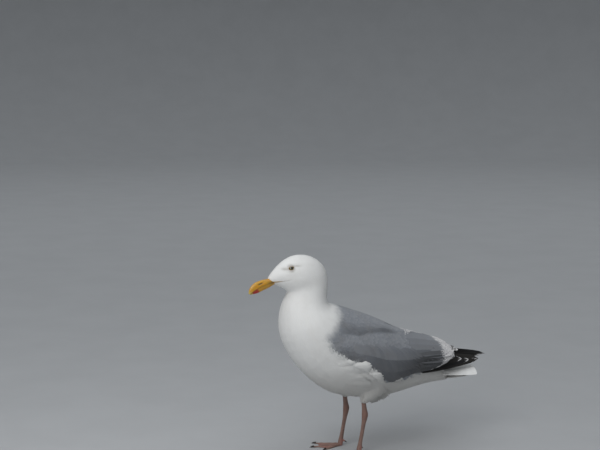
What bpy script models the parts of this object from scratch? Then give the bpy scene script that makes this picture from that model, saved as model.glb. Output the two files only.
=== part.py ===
"""A herring gull standing still, life size, as a museum shows one.

Lengths are in millimetres and angles in degrees until a mesh is made, which is in metres.
The bird faces -Y with its left side at +X and stands on Z = 0. Outlines are written in a working
frame whose zero is between the two feet, and the whole bird is centred on its box at the end.
"""

import math

import bmesh
import bpy
import numpy as np
from mathutils import Vector

MM = 0.001
GAP = 0.3  # clearance between neighbouring solids
CUT_GAP = 0.4  # width of the thin cuts that part the head, neck and trunk

# The body: one smooth form, read as slices that turn from the bill round the nape and down the back.
# Each row is the top of a slice (y, z), its bottom (y, z), its half width, and how far its widest
# place sits below the middle, as a share.
BODY_SLICES = (
    # top y, top z, low y, low z, half width, egg
    (-167.0, 338.0, -153.0, 327.5, 8.0, 0.00),  # bill base
    (-160.0, 347.5, -149.5, 325.5, 12.0, 0.05),
    (-149.5, 358.4, -144.0, 322.8, 17.5, 0.08),  # lores
    (-136.5, 368.6, -138.0, 319.3, 22.5, 0.10),  # forehead
    (-121.0, 376.3, -133.0, 316.2, 26.5, 0.10),
    (-102.5, 378.8, -129.8, 314.0, 29.5, 0.08),  # crown
    (-83.0, 375.0, -128.2, 312.6, 31.5, 0.06),
    (-66.5, 365.5, -127.4, 311.4, 32.5, 0.04),  # back of the head
    (-55.5, 352.0, -127.0, 309.8, 33.0, 0.00),
    (-50.5, 336.5, -127.6, 307.0, 33.5, 0.00),  # throat and nape
    (-50.0, 319.0, -130.0, 301.5, 35.5, 0.00),
    (-52.0, 303.5, -134.5, 292.5, 39.0, 0.00),
    (-53.0, 293.0, -138.8, 279.0, 45.0, 0.00),  # foot of the neck
    (-51.5, 288.0, -141.2, 260.5, 52.0, 0.00),
    (-48.5, 285.6, -140.6, 239.0, 59.0, 0.00),
    (-43.5, 284.0, -134.0, 215.0, 64.5, 0.00),
    (-35.0, 281.8, -120.5, 189.0, 68.5, 0.00),  # breast
    (-20.0, 277.0, -99.0, 159.5, 71.0, 0.00),
    (5.0, 268.0, -72.0, 134.0, 71.5, 0.00),  # shoulders
    (35.0, 256.5, -42.0, 115.0, 69.5, 0.00),
    (64.0, 243.2, -9.0, 105.0, 65.0, 0.00),  # belly
    (90.0, 229.5, 27.0, 100.0, 57.5, 0.00),
    (114.0, 207.0, 64.0, 99.0, 47.5, 0.00),
    (131.0, 181.0, 101.0, 104.5, 40.0, 0.00),  # vent
    (153.0, 163.0, 138.0, 112.0, 32.0, 0.00),
    (176.0, 150.0, 173.0, 116.0, 26.0, 0.00),  # tail coverts
    (197.0, 140.0, 203.0, 117.0, 19.0, 0.00),
    (212.0, 131.0, 222.0, 119.5, 11.0, 0.00),
)
SLICES_PER_ROW = 1.5
BODY_SIDES = 22
HEAD_CUT_ROW = 9.5
NECK_CUT_ROW = 13.0

EYE_RADIUS = 7.2
EYE_Y, EYE_Z = -129.0, 358.5
EYE_SINK = 5.2  # how deep the eye's middle lies under the side of the head
EYE_LOOK = (0.91, -0.26, 0.32)  # the way the left eye faces

# The bill: from its base to its tip, (y, z) of the ridge, the line where it closes and the lower edge,
# then the half widths of the upper and the lower half.
BILL_SLICES = (
    # ridge y, z, closing line y, z, lower edge y, z, upper and lower half width
    (-167.6, 337.8, -160.4, 332.2, -153.9, 327.3, 8.0, 7.4),
    (-175.0, 336.9, -168.0, 330.2, -161.5, 323.2, 7.1, 6.4),
    (-183.0, 335.2, -176.5, 327.4, -170.5, 319.2, 6.3, 5.5),
    (-191.2, 332.4, -185.0, 323.8, -180.0, 315.6, 5.5, 4.7),
    (-198.4, 327.2, -192.6, 319.6, -187.5, 312.6, 4.6, 3.6),
    (-203.2, 319.8, -198.4, 315.2, -195.0, 311.6, 3.2, 2.2),
    (-204.4, 312.6, -202.0, 311.6, -200.0, 310.8, 1.5, 0.9),
)
BILL_STEPS = 1.5
BILL_SIDES = 12

# The left folded wing: at each y its outer face runs from the top through the side to the low edge,
# each (x, z), with the wing's thickness there.
WING_SLICES = (
    # y, top x, z, side x, z, low x, z, thickness
    (-80.0, 59.5, 232.0, 64.5, 223.0, 66.0, 212.0, 3.0),
    (-62.0, 62.5, 240.0, 70.5, 219.0, 70.0, 201.0, 5.0),
    (-30.0, 62.0, 240.0, 74.5, 209.0, 73.0, 182.0, 6.0),
    (10.0, 57.0, 238.0, 75.5, 199.0, 71.0, 160.0, 6.0),
    (45.0, 46.0, 236.0, 72.0, 189.0, 60.0, 134.0, 6.0),
    (85.0, 24.0, 230.5, 64.5, 184.0, 50.0, 139.0, 6.0),
    (125.0, 5.0, 220.0, 56.0, 182.0, 43.5, 147.0, 5.5),
    (165.0, 1.5, 206.0, 46.5, 179.0, 38.5, 151.0, 5.0),
    (190.0, 2.0, 200.0, 38.5, 179.0, 34.0, 158.0, 3.6),
    (208.0, 8.0, 189.0, 30.0, 180.0, 30.0, 168.0, 2.0),
)
WING_STEPS_ALONG = 1.5
WING_STEPS_ROUND = 8

# The closed wing tip, the stack of long flight feathers: at each y its upper and lower edge, each (x, z).
LEFT_TIP_SLICES = (
    (112.0, 32.0, 158.0, 38.0, 148.0),
    (150.0, 24.0, 168.0, 33.0, 148.5),
    (180.0, 18.0, 175.0, 29.5, 149.0),
    (208.0, 12.0, 178.0, 25.5, 150.0),
    (235.0, 8.0, 171.0, 20.0, 151.0),
    (258.0, 6.5, 163.5, 15.0, 152.0),
    (273.0, 7.5, 156.5, 11.0, 152.5),
)
RIGHT_TIP_SLICES = (
    (112.0, 32.0, 159.0, 38.0, 149.0),
    (150.0, 24.0, 170.0, 33.0, 149.5),
    (180.0, 17.0, 178.0, 29.0, 150.5),
    (208.0, 10.0, 180.0, 24.0, 152.5),
    (240.0, 5.0, 174.0, 17.5, 154.0),
    (275.0, 2.5, 166.0, 10.5, 155.5),
    (297.0, 2.5, 159.0, 6.0, 156.5),
)
TIP_THICK = 4.0
TIP_THIN = 1.4  # at the end of the stack

# The closed tail, a slightly arched fan.
TAIL_ROOT_Y, TAIL_END_Y = 182.0, 263.0
TAIL_ROOT_Z, TAIL_END_Z = 142.0, 139.0  # upper face on the middle line
TAIL_ROOT_HALF, TAIL_END_HALF = 23.0, 34.0
TAIL_ARCH = 9.0  # how far the outer edges hang below the middle
TAIL_ROOT_THICK, TAIL_END_THICK = 6.0, 2.0
TAIL_ROUNDING = 5.0  # how far the corners stand short of the middle
TAIL_STEPS_ALONG, TAIL_STEPS_ACROSS = 5, 8

# The legs. Each foot's heel stands at FOOT_X from the middle, and the right foot is a little ahead.
FOOT_X = 29.0
LEFT_HEEL_Y, RIGHT_HEEL_Y = 4.5, -7.5
TOE_OUT = 6.0  # degrees that each foot turns outwards
# Feathered thigh: height, then behind the heel, half depth, half width.
THIGH_SLICES = (
    (134.0, 30.0, 25.0, 19.0),
    (117.0, 27.5, 23.5, 16.5),
    (108.0, 22.5, 18.5, 12.5),
    (101.5, 15.5, 11.0, 8.6),
    (95.5, 10.8, 6.2, 6.0),
)
# Bare leg: height, behind the heel, half depth, half width.
LEG_SLICES = (
    (95.2, 9.8, 4.2, 3.8),
    (86.0, 10.9, 4.6, 4.0),
    (79.0, 12.0, 5.4, 4.4),
    (72.0, 12.6, 6.3, 4.9),
    (64.0, 11.6, 5.3, 4.2),
    (52.0, 9.4, 4.0, 3.2),
    (34.0, 6.0, 3.7, 2.9),
    (18.0, 2.9, 4.0, 3.3),
    (8.0, 1.0, 5.0, 4.4),
    (3.2, 0.4, 4.6, 4.4),
)
LEG_SIDES = 12
# Front toes: name, angle outwards from straight ahead, where it starts, length to the claw, height and
# half width where it starts, number of swellings.
TOES = (
    ("inner", -29.0, -1.6, 41.0, 6.1, 4.0, 2),
    ("middle", 1.0, -3.4, 53.0, 6.6, 4.3, 3),
    ("outer", 29.0, -2.5, 48.0, 6.3, 4.1, 4),
)
TOE_TAPER = 0.42  # share of its size left at the claw
TOE_SWELL = 0.12
TOE_SIDES = 8
SOLE_SHARE = 0.16  # share of a toe's height that is cut away flat below it
WEB_LOW, WEB_HIGH = 0.35, 1.6
WEB_SHORT = 1.7  # how far the web ends before the claws
WEB_HOLLOW = 0.16  # how deep the web's front edge curves in, as a share of its span
CLAW_LONG, CLAW_RADIUS = 8.0, 1.9
HALLUX_HIGH, HALLUX_LONG = 11.5, 7.0

COLOURS = {
    "white_plumage": ((0.83, 0.83, 0.81), 0.85),
    "grey_plumage": ((0.33, 0.34, 0.37), 0.80),
    "black_plumage": ((0.015, 0.014, 0.015), 0.65),
    "bill_horn": ((0.80, 0.42, 0.04), 0.35),
    "eye": ((0.62, 0.56, 0.30), 0.05),
    "leg_skin": ((0.66, 0.36, 0.31), 0.55),
    "claw_horn": ((0.03, 0.025, 0.02), 0.35),
}


# ---- shared tools ----


def clear_scene():
    for old in list(bpy.data.objects):
        bpy.data.objects.remove(old)


def material(name):
    made = bpy.data.materials.get(name)
    if made is None:
        colour, roughness = COLOURS[name]
        made = bpy.data.materials.new(name)
        made.use_nodes = True
        shader = made.node_tree.nodes["Principled BSDF"]
        shader.inputs["Base Color"].default_value = (*colour, 1.0)
        shader.inputs["Roughness"].default_value = roughness
        shader.inputs["Metallic"].default_value = 0.0
    return made


def smooth_rows(rows, steps, first=0.0, last=None):
    """The rows of a table joined by a Catmull-Rom curve, with `steps` rows for each interval."""
    table = np.array(rows, float)
    last = len(table) - 1 if last is None else last
    count = round((last - first) * steps) + 1
    found = []
    for place in np.linspace(first, last, count):
        i = min(int(place), len(table) - 2)
        t = place - i
        before = table[i - 1] if i > 0 else 2 * table[i] - table[i + 1]
        after = table[i + 2] if i + 2 < len(table) else 2 * table[i + 1] - table[i]
        a, b = table[i], table[i + 1]
        slope_a, slope_b = (b - before) / 2, (after - a) / 2
        h = t * t * (3 - 2 * t)
        found.append(a + (b - a) * h + slope_a * (t - 2 * t**2 + t**3) + slope_b * (t**3 - t**2))
    return found


def loop(centre, up, low, half, sides, egg=0.0, square=2.0):
    """A closed loop round `centre`: `up` and `low` are vectors to its top and bottom, `half` its half width in X."""
    points = []
    for i in range(sides):
        angle = 2 * math.pi * i / sides
        c, s = math.cos(angle), math.sin(angle)
        high = math.copysign(abs(c) ** (2 / square), c)
        wide = math.copysign(abs(s) ** (2 / square), s) * (1 - egg * c)
        arm = up if high >= 0 else low
        points.append(centre + arm * abs(high) + np.array([half * wide, 0.0, 0.0]))
    return points


def mesh_object(name, points, faces, slot):
    """A named object from points in millimetres, with its faces turned outwards."""
    mesh = bpy.data.meshes.new(name)
    mesh.from_pydata([tuple(p * MM) for p in points], [], faces)
    work = bmesh.new()
    work.from_mesh(mesh)
    bmesh.ops.recalc_face_normals(work, faces=work.faces)
    bmesh.ops.triangulate(work, faces=work.faces)
    work.to_mesh(mesh)
    work.free()
    mesh.materials.append(material(slot))
    mesh.shade_smooth()
    made = bpy.data.objects.new(name, mesh)
    bpy.context.scene.collection.objects.link(made)
    return made


def loft(name, loops, slot):
    """A closed skin over loops with equal counts, with a flat cap at each end."""
    count = len(loops[0])
    points = [p for one in loops for p in one]
    faces = [tuple(range(count)), tuple(range(len(points) - count, len(points)))]
    for k in range(len(loops) - 1):
        base = k * count
        for i in range(count):
            j = (i + 1) % count
            faces.append((base + i, base + j, base + count + j, base + count + i))
    return mesh_object(name, points, faces, slot)


def plate(name, outer, inner, slot):
    """A closed plate between two grids of points of the same size, joined round their rims."""
    rows, columns = len(outer), len(outer[0])
    points = [p for grid in (outer, inner) for row in grid for p in row]
    half = rows * columns

    def at(side, r, c):
        return side * half + r * columns + c

    faces = []
    for side in (0, 1):
        for r in range(rows - 1):
            for c in range(columns - 1):
                faces.append((at(side, r, c), at(side, r, c + 1), at(side, r + 1, c + 1), at(side, r + 1, c)))
    rim = [(0, c) for c in range(columns)]
    rim += [(r, columns - 1) for r in range(1, rows)]
    rim += [(rows - 1, c) for c in range(columns - 2, -1, -1)]
    rim += [(r, 0) for r in range(rows - 2, 0, -1)]
    for k, (r, c) in enumerate(rim):
        nr, nc = rim[(k + 1) % len(rim)]
        faces.append((at(0, r, c), at(0, nr, nc), at(1, nr, nc), at(1, r, c)))
    return mesh_object(name, points, faces, slot)


def grown_copy(source, by=GAP):
    """A hidden cutter: the source's solid, larger by the clearance."""
    mesh = evaluated_mesh(source)
    work = bmesh.new()
    work.from_mesh(mesh)
    work.normal_update()
    shifts = [v.normal.copy() * by * MM for v in work.verts]
    for vertex, shift in zip(work.verts, shifts):
        vertex.co += shift
    work.to_mesh(mesh)
    work.free()
    cutter = bpy.data.objects.new(source.name + "_cutter", mesh)
    bpy.context.scene.collection.objects.link(cutter)
    cutter.hide_render = True
    cutter.display_type = "WIRE"
    return cutter


def evaluated_mesh(source):
    bpy.context.view_layer.update()
    graph = bpy.context.evaluated_depsgraph_get()
    return bpy.data.meshes.new_from_object(source.evaluated_get(graph))


def boolean(target, tool, operation="DIFFERENCE"):
    step = target.modifiers.new(operation.lower(), "BOOLEAN")
    step.operation = operation
    step.solver = "EXACT"
    step.object = tool
    return step


def apply_steps(target):
    """Bakes the modifiers of `target` into its mesh."""
    mesh = evaluated_mesh(target)
    target.modifiers.clear()
    target.data = mesh


def part_off(source, name, keep_above=None, keep_below=None):
    """A new object: `source` between two planes, each (point, direction), closed flat at the cuts."""
    work = bmesh.new()
    work.from_mesh(source.data)
    for plane, keep in ((keep_above, 1), (keep_below, -1)):
        if plane is None:
            continue
        point, direction = plane
        cut = bmesh.ops.bisect_plane(
            work,
            geom=work.verts[:] + work.edges[:] + work.faces[:],
            dist=1e-7,
            plane_co=Vector(point) * MM,
            plane_no=Vector(direction) * -keep,
            clear_outer=True,
        )
        rim = [e for e in cut["geom_cut"] if isinstance(e, bmesh.types.BMEdge)]
        bmesh.ops.holes_fill(work, edges=[e for e in rim if e.is_boundary], sides=0)
    bmesh.ops.recalc_face_normals(work, faces=work.faces)
    mesh = bpy.data.meshes.new(name)
    work.to_mesh(mesh)
    work.free()
    for slot in source.data.materials:
        mesh.materials.append(slot)
    mesh.shade_smooth()
    mesh.set_sharp_from_angle(angle=math.radians(50))
    made = bpy.data.objects.new(name, mesh)
    bpy.context.scene.collection.objects.link(made)
    return made


# ---- head, neck and trunk ----


def slice_loop(row, sides=BODY_SIDES):
    top, low = np.array([0.0, row[0], row[1]]), np.array([0.0, row[2], row[3]])
    centre = (top + low) / 2
    return loop(centre, top - centre, low - centre, row[4], sides, egg=row[5])


def body_form():
    """Head, neck and trunk as one closed form."""
    rows = smooth_rows(BODY_SLICES, SLICES_PER_ROW)
    return loft("body", [slice_loop(row) for row in rows], "white_plumage")


def cut_plane(row_number):
    """Point and direction, towards the tail, of the slice at that place in the body's table."""
    row = smooth_rows(BODY_SLICES, 1, row_number, row_number)[0]
    top, low = np.array([0.0, row[0], row[1]]), np.array([0.0, row[2], row[3]])
    along = np.cross(np.array([1.0, 0.0, 0.0]), top - low)
    along /= np.linalg.norm(along)
    if along[2] > 0:
        along = -along
    return (top + low) / 2, along


def part_body(body):
    """Cuts the body into head, neck and trunk."""
    half = CUT_GAP / 2
    head_at, head_way = cut_plane(HEAD_CUT_ROW)
    neck_at, neck_way = cut_plane(NECK_CUT_ROW)
    part_off(body, "head", keep_below=(head_at - head_way * half, head_way))
    part_off(
        body,
        "neck",
        keep_above=(head_at + head_way * half, head_way),
        keep_below=(neck_at - neck_way * half, neck_way),
    )
    part_off(body, "trunk", keep_above=(neck_at + neck_way * half, neck_way))
    bpy.data.objects.remove(body)


def side_of_head():
    """X of the head's surface at the height of the eye."""
    best = 0.0
    for row in smooth_rows(BODY_SLICES, 8, 1, 6):
        top, low = np.array(row[0:2]), np.array(row[2:4])
        axis = top - low
        share = np.dot(np.array([EYE_Y, EYE_Z]) - low, axis) / np.dot(axis, axis)
        foot = low + axis * share
        if np.linalg.norm(foot - np.array([EYE_Y, EYE_Z])) < 1.5:
            c = 2 * share - 1
            best = row[4] * math.sqrt(max(0.0, 1 - c * c)) * (1 - row[5] * c)
    return best


def eye(name, side):
    mesh = bpy.data.meshes.new(name)
    work = bmesh.new()
    bmesh.ops.create_uvsphere(work, u_segments=14, v_segments=8, radius=EYE_RADIUS * MM)
    look = Vector(EYE_LOOK).normalized()
    middle = Vector((side_of_head(), EYE_Y, EYE_Z)) - look * EYE_SINK
    middle = Vector((side * middle.x, middle.y, middle.z)) * MM
    bmesh.ops.translate(work, verts=work.verts, vec=middle)
    work.to_mesh(mesh)
    work.free()
    mesh.shade_smooth()
    mesh.materials.append(material("eye"))
    made = bpy.data.objects.new(name, mesh)
    bpy.context.scene.collection.objects.link(made)
    return made


# ---- bill ----


def bill_half(name, upper):
    loops = []
    for row in smooth_rows(BILL_SLICES, BILL_STEPS):
        ridge, closing, lower = (np.array([0.0, *row[k : k + 2]]) for k in (0, 2, 4))
        across = (ridge - lower) / np.linalg.norm(ridge - lower)
        edge = closing + across * (GAP / 2 if upper else -GAP / 2)
        lip = across * 0.25  # the closing faces are slightly rounded
        if upper:
            loops.append(loop(edge + lip, ridge - edge - lip, -lip, row[6], BILL_SIDES, square=1.9))
        else:
            loops.append(loop(edge - lip, lip, lower - edge + lip, row[7], BILL_SIDES, square=1.9))
    return loft(name, loops, "bill_horn")


# ---- wings and tail ----


def bent_through(top, side, low, t):
    """The curve from top to low that passes through `side` half way."""
    control = 2 * side - (top + low) / 2
    return (1 - t) ** 2 * top + 2 * t * (1 - t) * control + t**2 * low


def wing(name, side):
    outer, inner = [], []
    steps = np.linspace(0.0, 1.0, WING_STEPS_ROUND + 1)
    for row in smooth_rows(WING_SLICES, WING_STEPS_ALONG):
        y, thick = row[0], row[7]
        top, middle, low = (np.array(row[k : k + 2]) for k in (1, 3, 5))
        face = np.array([bent_through(top, middle, low, t) for t in steps])
        run = np.gradient(face, axis=0)
        inwards = np.stack([run[:, 1], -run[:, 0]], axis=1)
        inwards /= np.linalg.norm(inwards, axis=1, keepdims=True)
        back = face + inwards * thick
        back[:, 0] = np.maximum(back[:, 0], GAP)
        outer.append([np.array([side * x, y, z]) for x, z in face])
        inner.append([np.array([side * x, y, z]) for x, z in back])
    return plate(name, outer, inner, "grey_plumage")


def wing_tip(name, side, slices):
    loops = []
    rows = smooth_rows(slices, 2)
    for k, row in enumerate(rows):
        y = row[0]
        high, low = np.array([row[1], row[2]]), np.array([row[3], row[4]])
        share = max(0.0, k / (len(rows) - 1) - 0.4) / 0.6
        half = (TIP_THICK + (TIP_THIN - TIP_THICK) * share) / 2
        centre, arm = (high + low) / 2, (high - low) / 2
        normal = np.array([arm[1], -arm[0]]) / np.linalg.norm(arm)
        points = []
        for i in range(10):
            angle = 2 * math.pi * i / 10
            x, z = centre + arm * math.cos(angle) + normal * half * math.sin(angle)
            points.append(np.array([side * x, y, z]))
        loops.append(points)
    return loft(name, loops, "black_plumage")


def tail():
    outer, inner = [], []
    for along in np.linspace(0.0, 1.0, TAIL_STEPS_ALONG + 1):
        top_row, low_row = [], []
        for across in np.linspace(-1.0, 1.0, TAIL_STEPS_ACROSS + 1):
            end = TAIL_END_Y - TAIL_ROUNDING * across**2
            y = TAIL_ROOT_Y + (end - TAIL_ROOT_Y) * along
            x = across * (TAIL_ROOT_HALF + (TAIL_END_HALF - TAIL_ROOT_HALF) * along)
            z = TAIL_ROOT_Z + (TAIL_END_Z - TAIL_ROOT_Z) * along - TAIL_ARCH * across**2
            thick = TAIL_ROOT_THICK + (TAIL_END_THICK - TAIL_ROOT_THICK) * along
            thick *= 1 - 0.5 * across**4
            top_row.append(np.array([x, y, z]))
            low_row.append(np.array([x, y, z - thick]))
        outer.append(top_row)
        inner.append(low_row)
    return plate("tail", outer, inner, "white_plumage")


# ---- legs and feet ----


def heel_y(side):
    return LEFT_HEEL_Y if side > 0 else RIGHT_HEEL_Y


def upright_loft(name, side, slices, sides, slot):
    """A limb that stands over its heel, from slices of (height, behind the heel, half depth, half width)."""
    loops = []
    for z, behind, depth, half in smooth_rows(slices, 1.4):
        centre = np.array([side * FOOT_X, heel_y(side) + behind, z])
        arm = np.array([0.0, depth, 0.0])
        loops.append(loop(centre, arm, -arm, half, sides))
    return loft(name, loops, slot)


def foot_point(side, ahead, out, z):
    """A place on the foot: `ahead` of the heel and `out` from the foot's own line, which turns outwards."""
    turn = math.radians(TOE_OUT)
    forward = ahead * math.cos(turn) - out * math.sin(turn)
    sideways = ahead * math.sin(turn) + out * math.cos(turn)
    return np.array([side * (FOOT_X + sideways), heel_y(side) - forward, z])


def toe(side, angle, start, length, high, half, swellings):
    loops = []
    way = math.radians(angle)
    for share in np.linspace(0.0, 1.0, 2 * swellings + 2):
        size = 1 + (TOE_TAPER - 1) * share
        size *= 1 + TOE_SWELL * math.cos(2 * math.pi * swellings * share)
        along = start + (length - start) * share
        points = []
        for i in range(TOE_SIDES):
            turn = 2 * math.pi * (i + 0.5) / TOE_SIDES
            across = half * size * math.sin(turn)
            z = high * size * (0.5 + 0.5 * math.cos(turn) - SOLE_SHARE)
            ahead = along * math.cos(way) - across * math.sin(way)
            out = along * math.sin(way) + across * math.cos(way)
            points.append(foot_point(side, ahead, out, z))
        loops.append(points)
    return loft("toe", loops, "leg_skin")


def web(side):
    """The thin skin between the front toes, with a hollow front edge between each pair of toe tips."""
    rim = [(-1.0, 0.3)]
    tips = []
    for _, angle, _, length, *_ in TOES:
        way, reach = math.radians(angle), length - WEB_SHORT
        tips.append((reach * math.cos(way), reach * math.sin(way)))
    for k, tip in enumerate(tips):
        rim.append(tip)
        if k + 1 < len(tips):
            there = tips[k + 1]
            for share in (0.25, 0.5, 0.75):
                pull = 1 - WEB_HOLLOW * 4 * share * (1 - share)
                rim.append(tuple(pull * (tip[i] + (there[i] - tip[i]) * share) for i in (0, 1)))
    loops = [[foot_point(side, ahead, out, z) for ahead, out in rim] for z in (WEB_LOW, WEB_HIGH)]
    return loft("web", loops, "leg_skin")


def below_floor():
    """A block whose top is the floor."""
    corners = [np.array([x, y, z]) for z in (-20.0, 0.0) for x, y in ((-150, -150), (150, -150), (150, 150), (-150, 150))]
    made = loft("below_floor", [corners[:4], corners[4:]], "leg_skin")
    made.hide_render = True
    made.display_type = "WIRE"
    return made


def foot(name, side, leg):
    """Toes and web in one piece, cut flat below, with a seat for the leg."""
    pieces = [toe(side, *row[1:]) for row in TOES]
    pieces.append(web(side))
    made = pieces[0]
    made.name = name
    for piece in pieces[1:]:
        boolean(made, piece, "UNION")
    apply_steps(made)
    for piece in pieces[1:]:
        bpy.data.objects.remove(piece)
    for cutter in (below_floor(), grown_copy(leg)):
        boolean(made, cutter)
        apply_steps(made)
        bpy.data.objects.remove(cutter)
    made.data.set_sharp_from_angle(angle=math.radians(40))
    return made


def axes_along(way):
    """The unit vector along `way`, one level across it and one at right angles to both, upwards."""
    way = np.array(way) / np.linalg.norm(way)
    across = np.cross(way, np.array([0.0, 0.0, 1.0]))
    across /= np.linalg.norm(across)
    return way, across, np.cross(across, way)


def claw(name, side, start, way, drop, long=CLAW_LONG, radius=CLAW_RADIUS):
    """A curved, pointed claw from `start`, pointing along `way` and bending down by `drop`."""
    way, across, up = axes_along(way)
    loops = []
    for share in (0.0, 0.4, 0.75, 1.0):
        centre = start + way * long * share - np.array([0.0, 0.0, drop * share**2])
        size = radius * (1 - share) ** 0.7 + 0.25
        turns = [2 * math.pi * i / 6 for i in range(6)]
        loops.append([centre + size * (across * 0.8 * math.sin(t) + up * math.cos(t)) for t in turns])
    return loft(name, loops, "claw_horn")


def leg(name, side):
    """The bare leg with the small raised hind toe."""
    made = upright_loft(name, side, LEG_SLICES, LEG_SIDES, "leg_skin")
    start = np.array([side * (FOOT_X - 1.0), heel_y(side) + 2.5, HALLUX_HIGH])
    way, across, up = axes_along((-side * 0.35, 0.85, -0.42))
    loops = []
    for share in (0.0, 0.35, 0.7, 1.0):
        size = 2.4 - 0.9 * share
        centre = start + way * HALLUX_LONG * share
        turns = [2 * math.pi * i / 8 for i in range(8)]
        loops.append([centre + size * (across * math.sin(t) + up * math.cos(t)) for t in turns])
    hind_toe = loft("hind_toe", loops, "leg_skin")
    boolean(made, hind_toe, "UNION")
    apply_steps(made)
    bpy.data.objects.remove(hind_toe)
    claw_start = start + way * (HALLUX_LONG + GAP)
    claw(name.replace("leg", "claw_hind"), side, claw_start, way, 0.9, long=4.0, radius=1.2)
    return made


def front_claws(suffix, side):
    for toe_name, angle, _, length, *_ in TOES:
        way = math.radians(angle)
        start = foot_point(side, (length + GAP) * math.cos(way), (length + GAP) * math.sin(way), 0.0)
        end = foot_point(side, (length + 10) * math.cos(way), (length + 10) * math.sin(way), 0.0)
        high = CLAW_RADIUS + 0.5
        claw(f"claw_{toe_name}_{suffix}", side, start + np.array([0, 0, high]), end - start, high - 0.6)


# ---- the whole bird ----


def stand_on_floor():
    """Moves the bird so that the middle of its box is over the origin and its soles are at Z = 0."""
    bpy.context.view_layer.update()
    corners = []
    for made in bpy.context.scene.objects:
        if not made.hide_render:
            corners += [made.matrix_world @ vertex.co for vertex in made.data.vertices]
    places = np.array(corners)
    low, high = places.min(axis=0), places.max(axis=0)
    shift = Vector((-(low[0] + high[0]) / 2, -(low[1] + high[1]) / 2, -low[2]))
    for made in bpy.context.scene.objects:
        made.location += shift


def build():
    clear_scene()
    body = body_form()
    body_cutter = grown_copy(body)
    plugs = [tail()]
    for side, suffix, tip_slices in ((1, "left", LEFT_TIP_SLICES), (-1, "right", RIGHT_TIP_SLICES)):
        tip = wing_tip(f"primaries_{suffix}", side, tip_slices)
        folded = wing(f"wing_{suffix}", side)
        plugs += [tip, folded, eye(f"eye_{suffix}", side)]
        thigh = upright_loft(f"thigh_{suffix}", side, THIGH_SLICES, 18, "white_plumage")
        boolean(thigh, body_cutter)
        apply_steps(thigh)
        bare_leg = leg(f"leg_{suffix}", side)
        foot(f"foot_{suffix}", side, bare_leg)
        front_claws(suffix, side)
    for plug in plugs:
        boolean(body, grown_copy(plug))
    apply_steps(body)
    for helper in [o for o in bpy.data.objects if o.hide_render]:
        bpy.data.objects.remove(helper)
    part_body(body)
    bill_half("bill_upper", True)
    bill_half("bill_lower", False)
    stand_on_floor()


build()
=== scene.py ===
"""The looks of a standing herring gull: skin, feathers, bill, eyes, legs and feet over the solids."""

import math

import bmesh
import bpy
import numpy as np
from mathutils import Matrix, Vector
from mathutils.bvhtree import BVHTree
from mathutils.kdtree import KDTree


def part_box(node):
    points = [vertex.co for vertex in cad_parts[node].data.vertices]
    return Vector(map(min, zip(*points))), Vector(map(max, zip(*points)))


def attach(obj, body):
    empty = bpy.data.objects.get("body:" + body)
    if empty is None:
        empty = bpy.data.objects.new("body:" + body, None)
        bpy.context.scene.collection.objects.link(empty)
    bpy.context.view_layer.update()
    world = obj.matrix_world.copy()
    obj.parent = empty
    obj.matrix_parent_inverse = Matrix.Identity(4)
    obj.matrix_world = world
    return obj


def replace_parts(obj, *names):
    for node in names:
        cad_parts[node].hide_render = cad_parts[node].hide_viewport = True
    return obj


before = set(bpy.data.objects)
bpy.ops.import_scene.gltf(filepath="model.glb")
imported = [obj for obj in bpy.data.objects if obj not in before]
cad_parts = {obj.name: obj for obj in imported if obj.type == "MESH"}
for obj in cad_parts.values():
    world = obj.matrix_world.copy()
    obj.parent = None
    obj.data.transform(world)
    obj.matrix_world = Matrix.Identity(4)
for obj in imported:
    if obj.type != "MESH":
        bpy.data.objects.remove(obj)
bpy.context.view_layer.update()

MM = 0.001
TAIL_ROOT_Y, TAIL_END_Y = 182.0, 263.0  # in the working frame, whose zero is between the feet
SHIFT = np.array([0.0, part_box("tail")[1].y - TAIL_END_Y * MM, 0.0])
RNG = np.random.default_rng(11)
SIDES = ((1, "left"), (-1, "right"))
FULL_TURN = 2 * math.pi
FOOT_X, TOE_OUT = 29.0, 6.0
HEELS = {1: 4.5, -1: -7.5}  # y of each foot's heel

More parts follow.
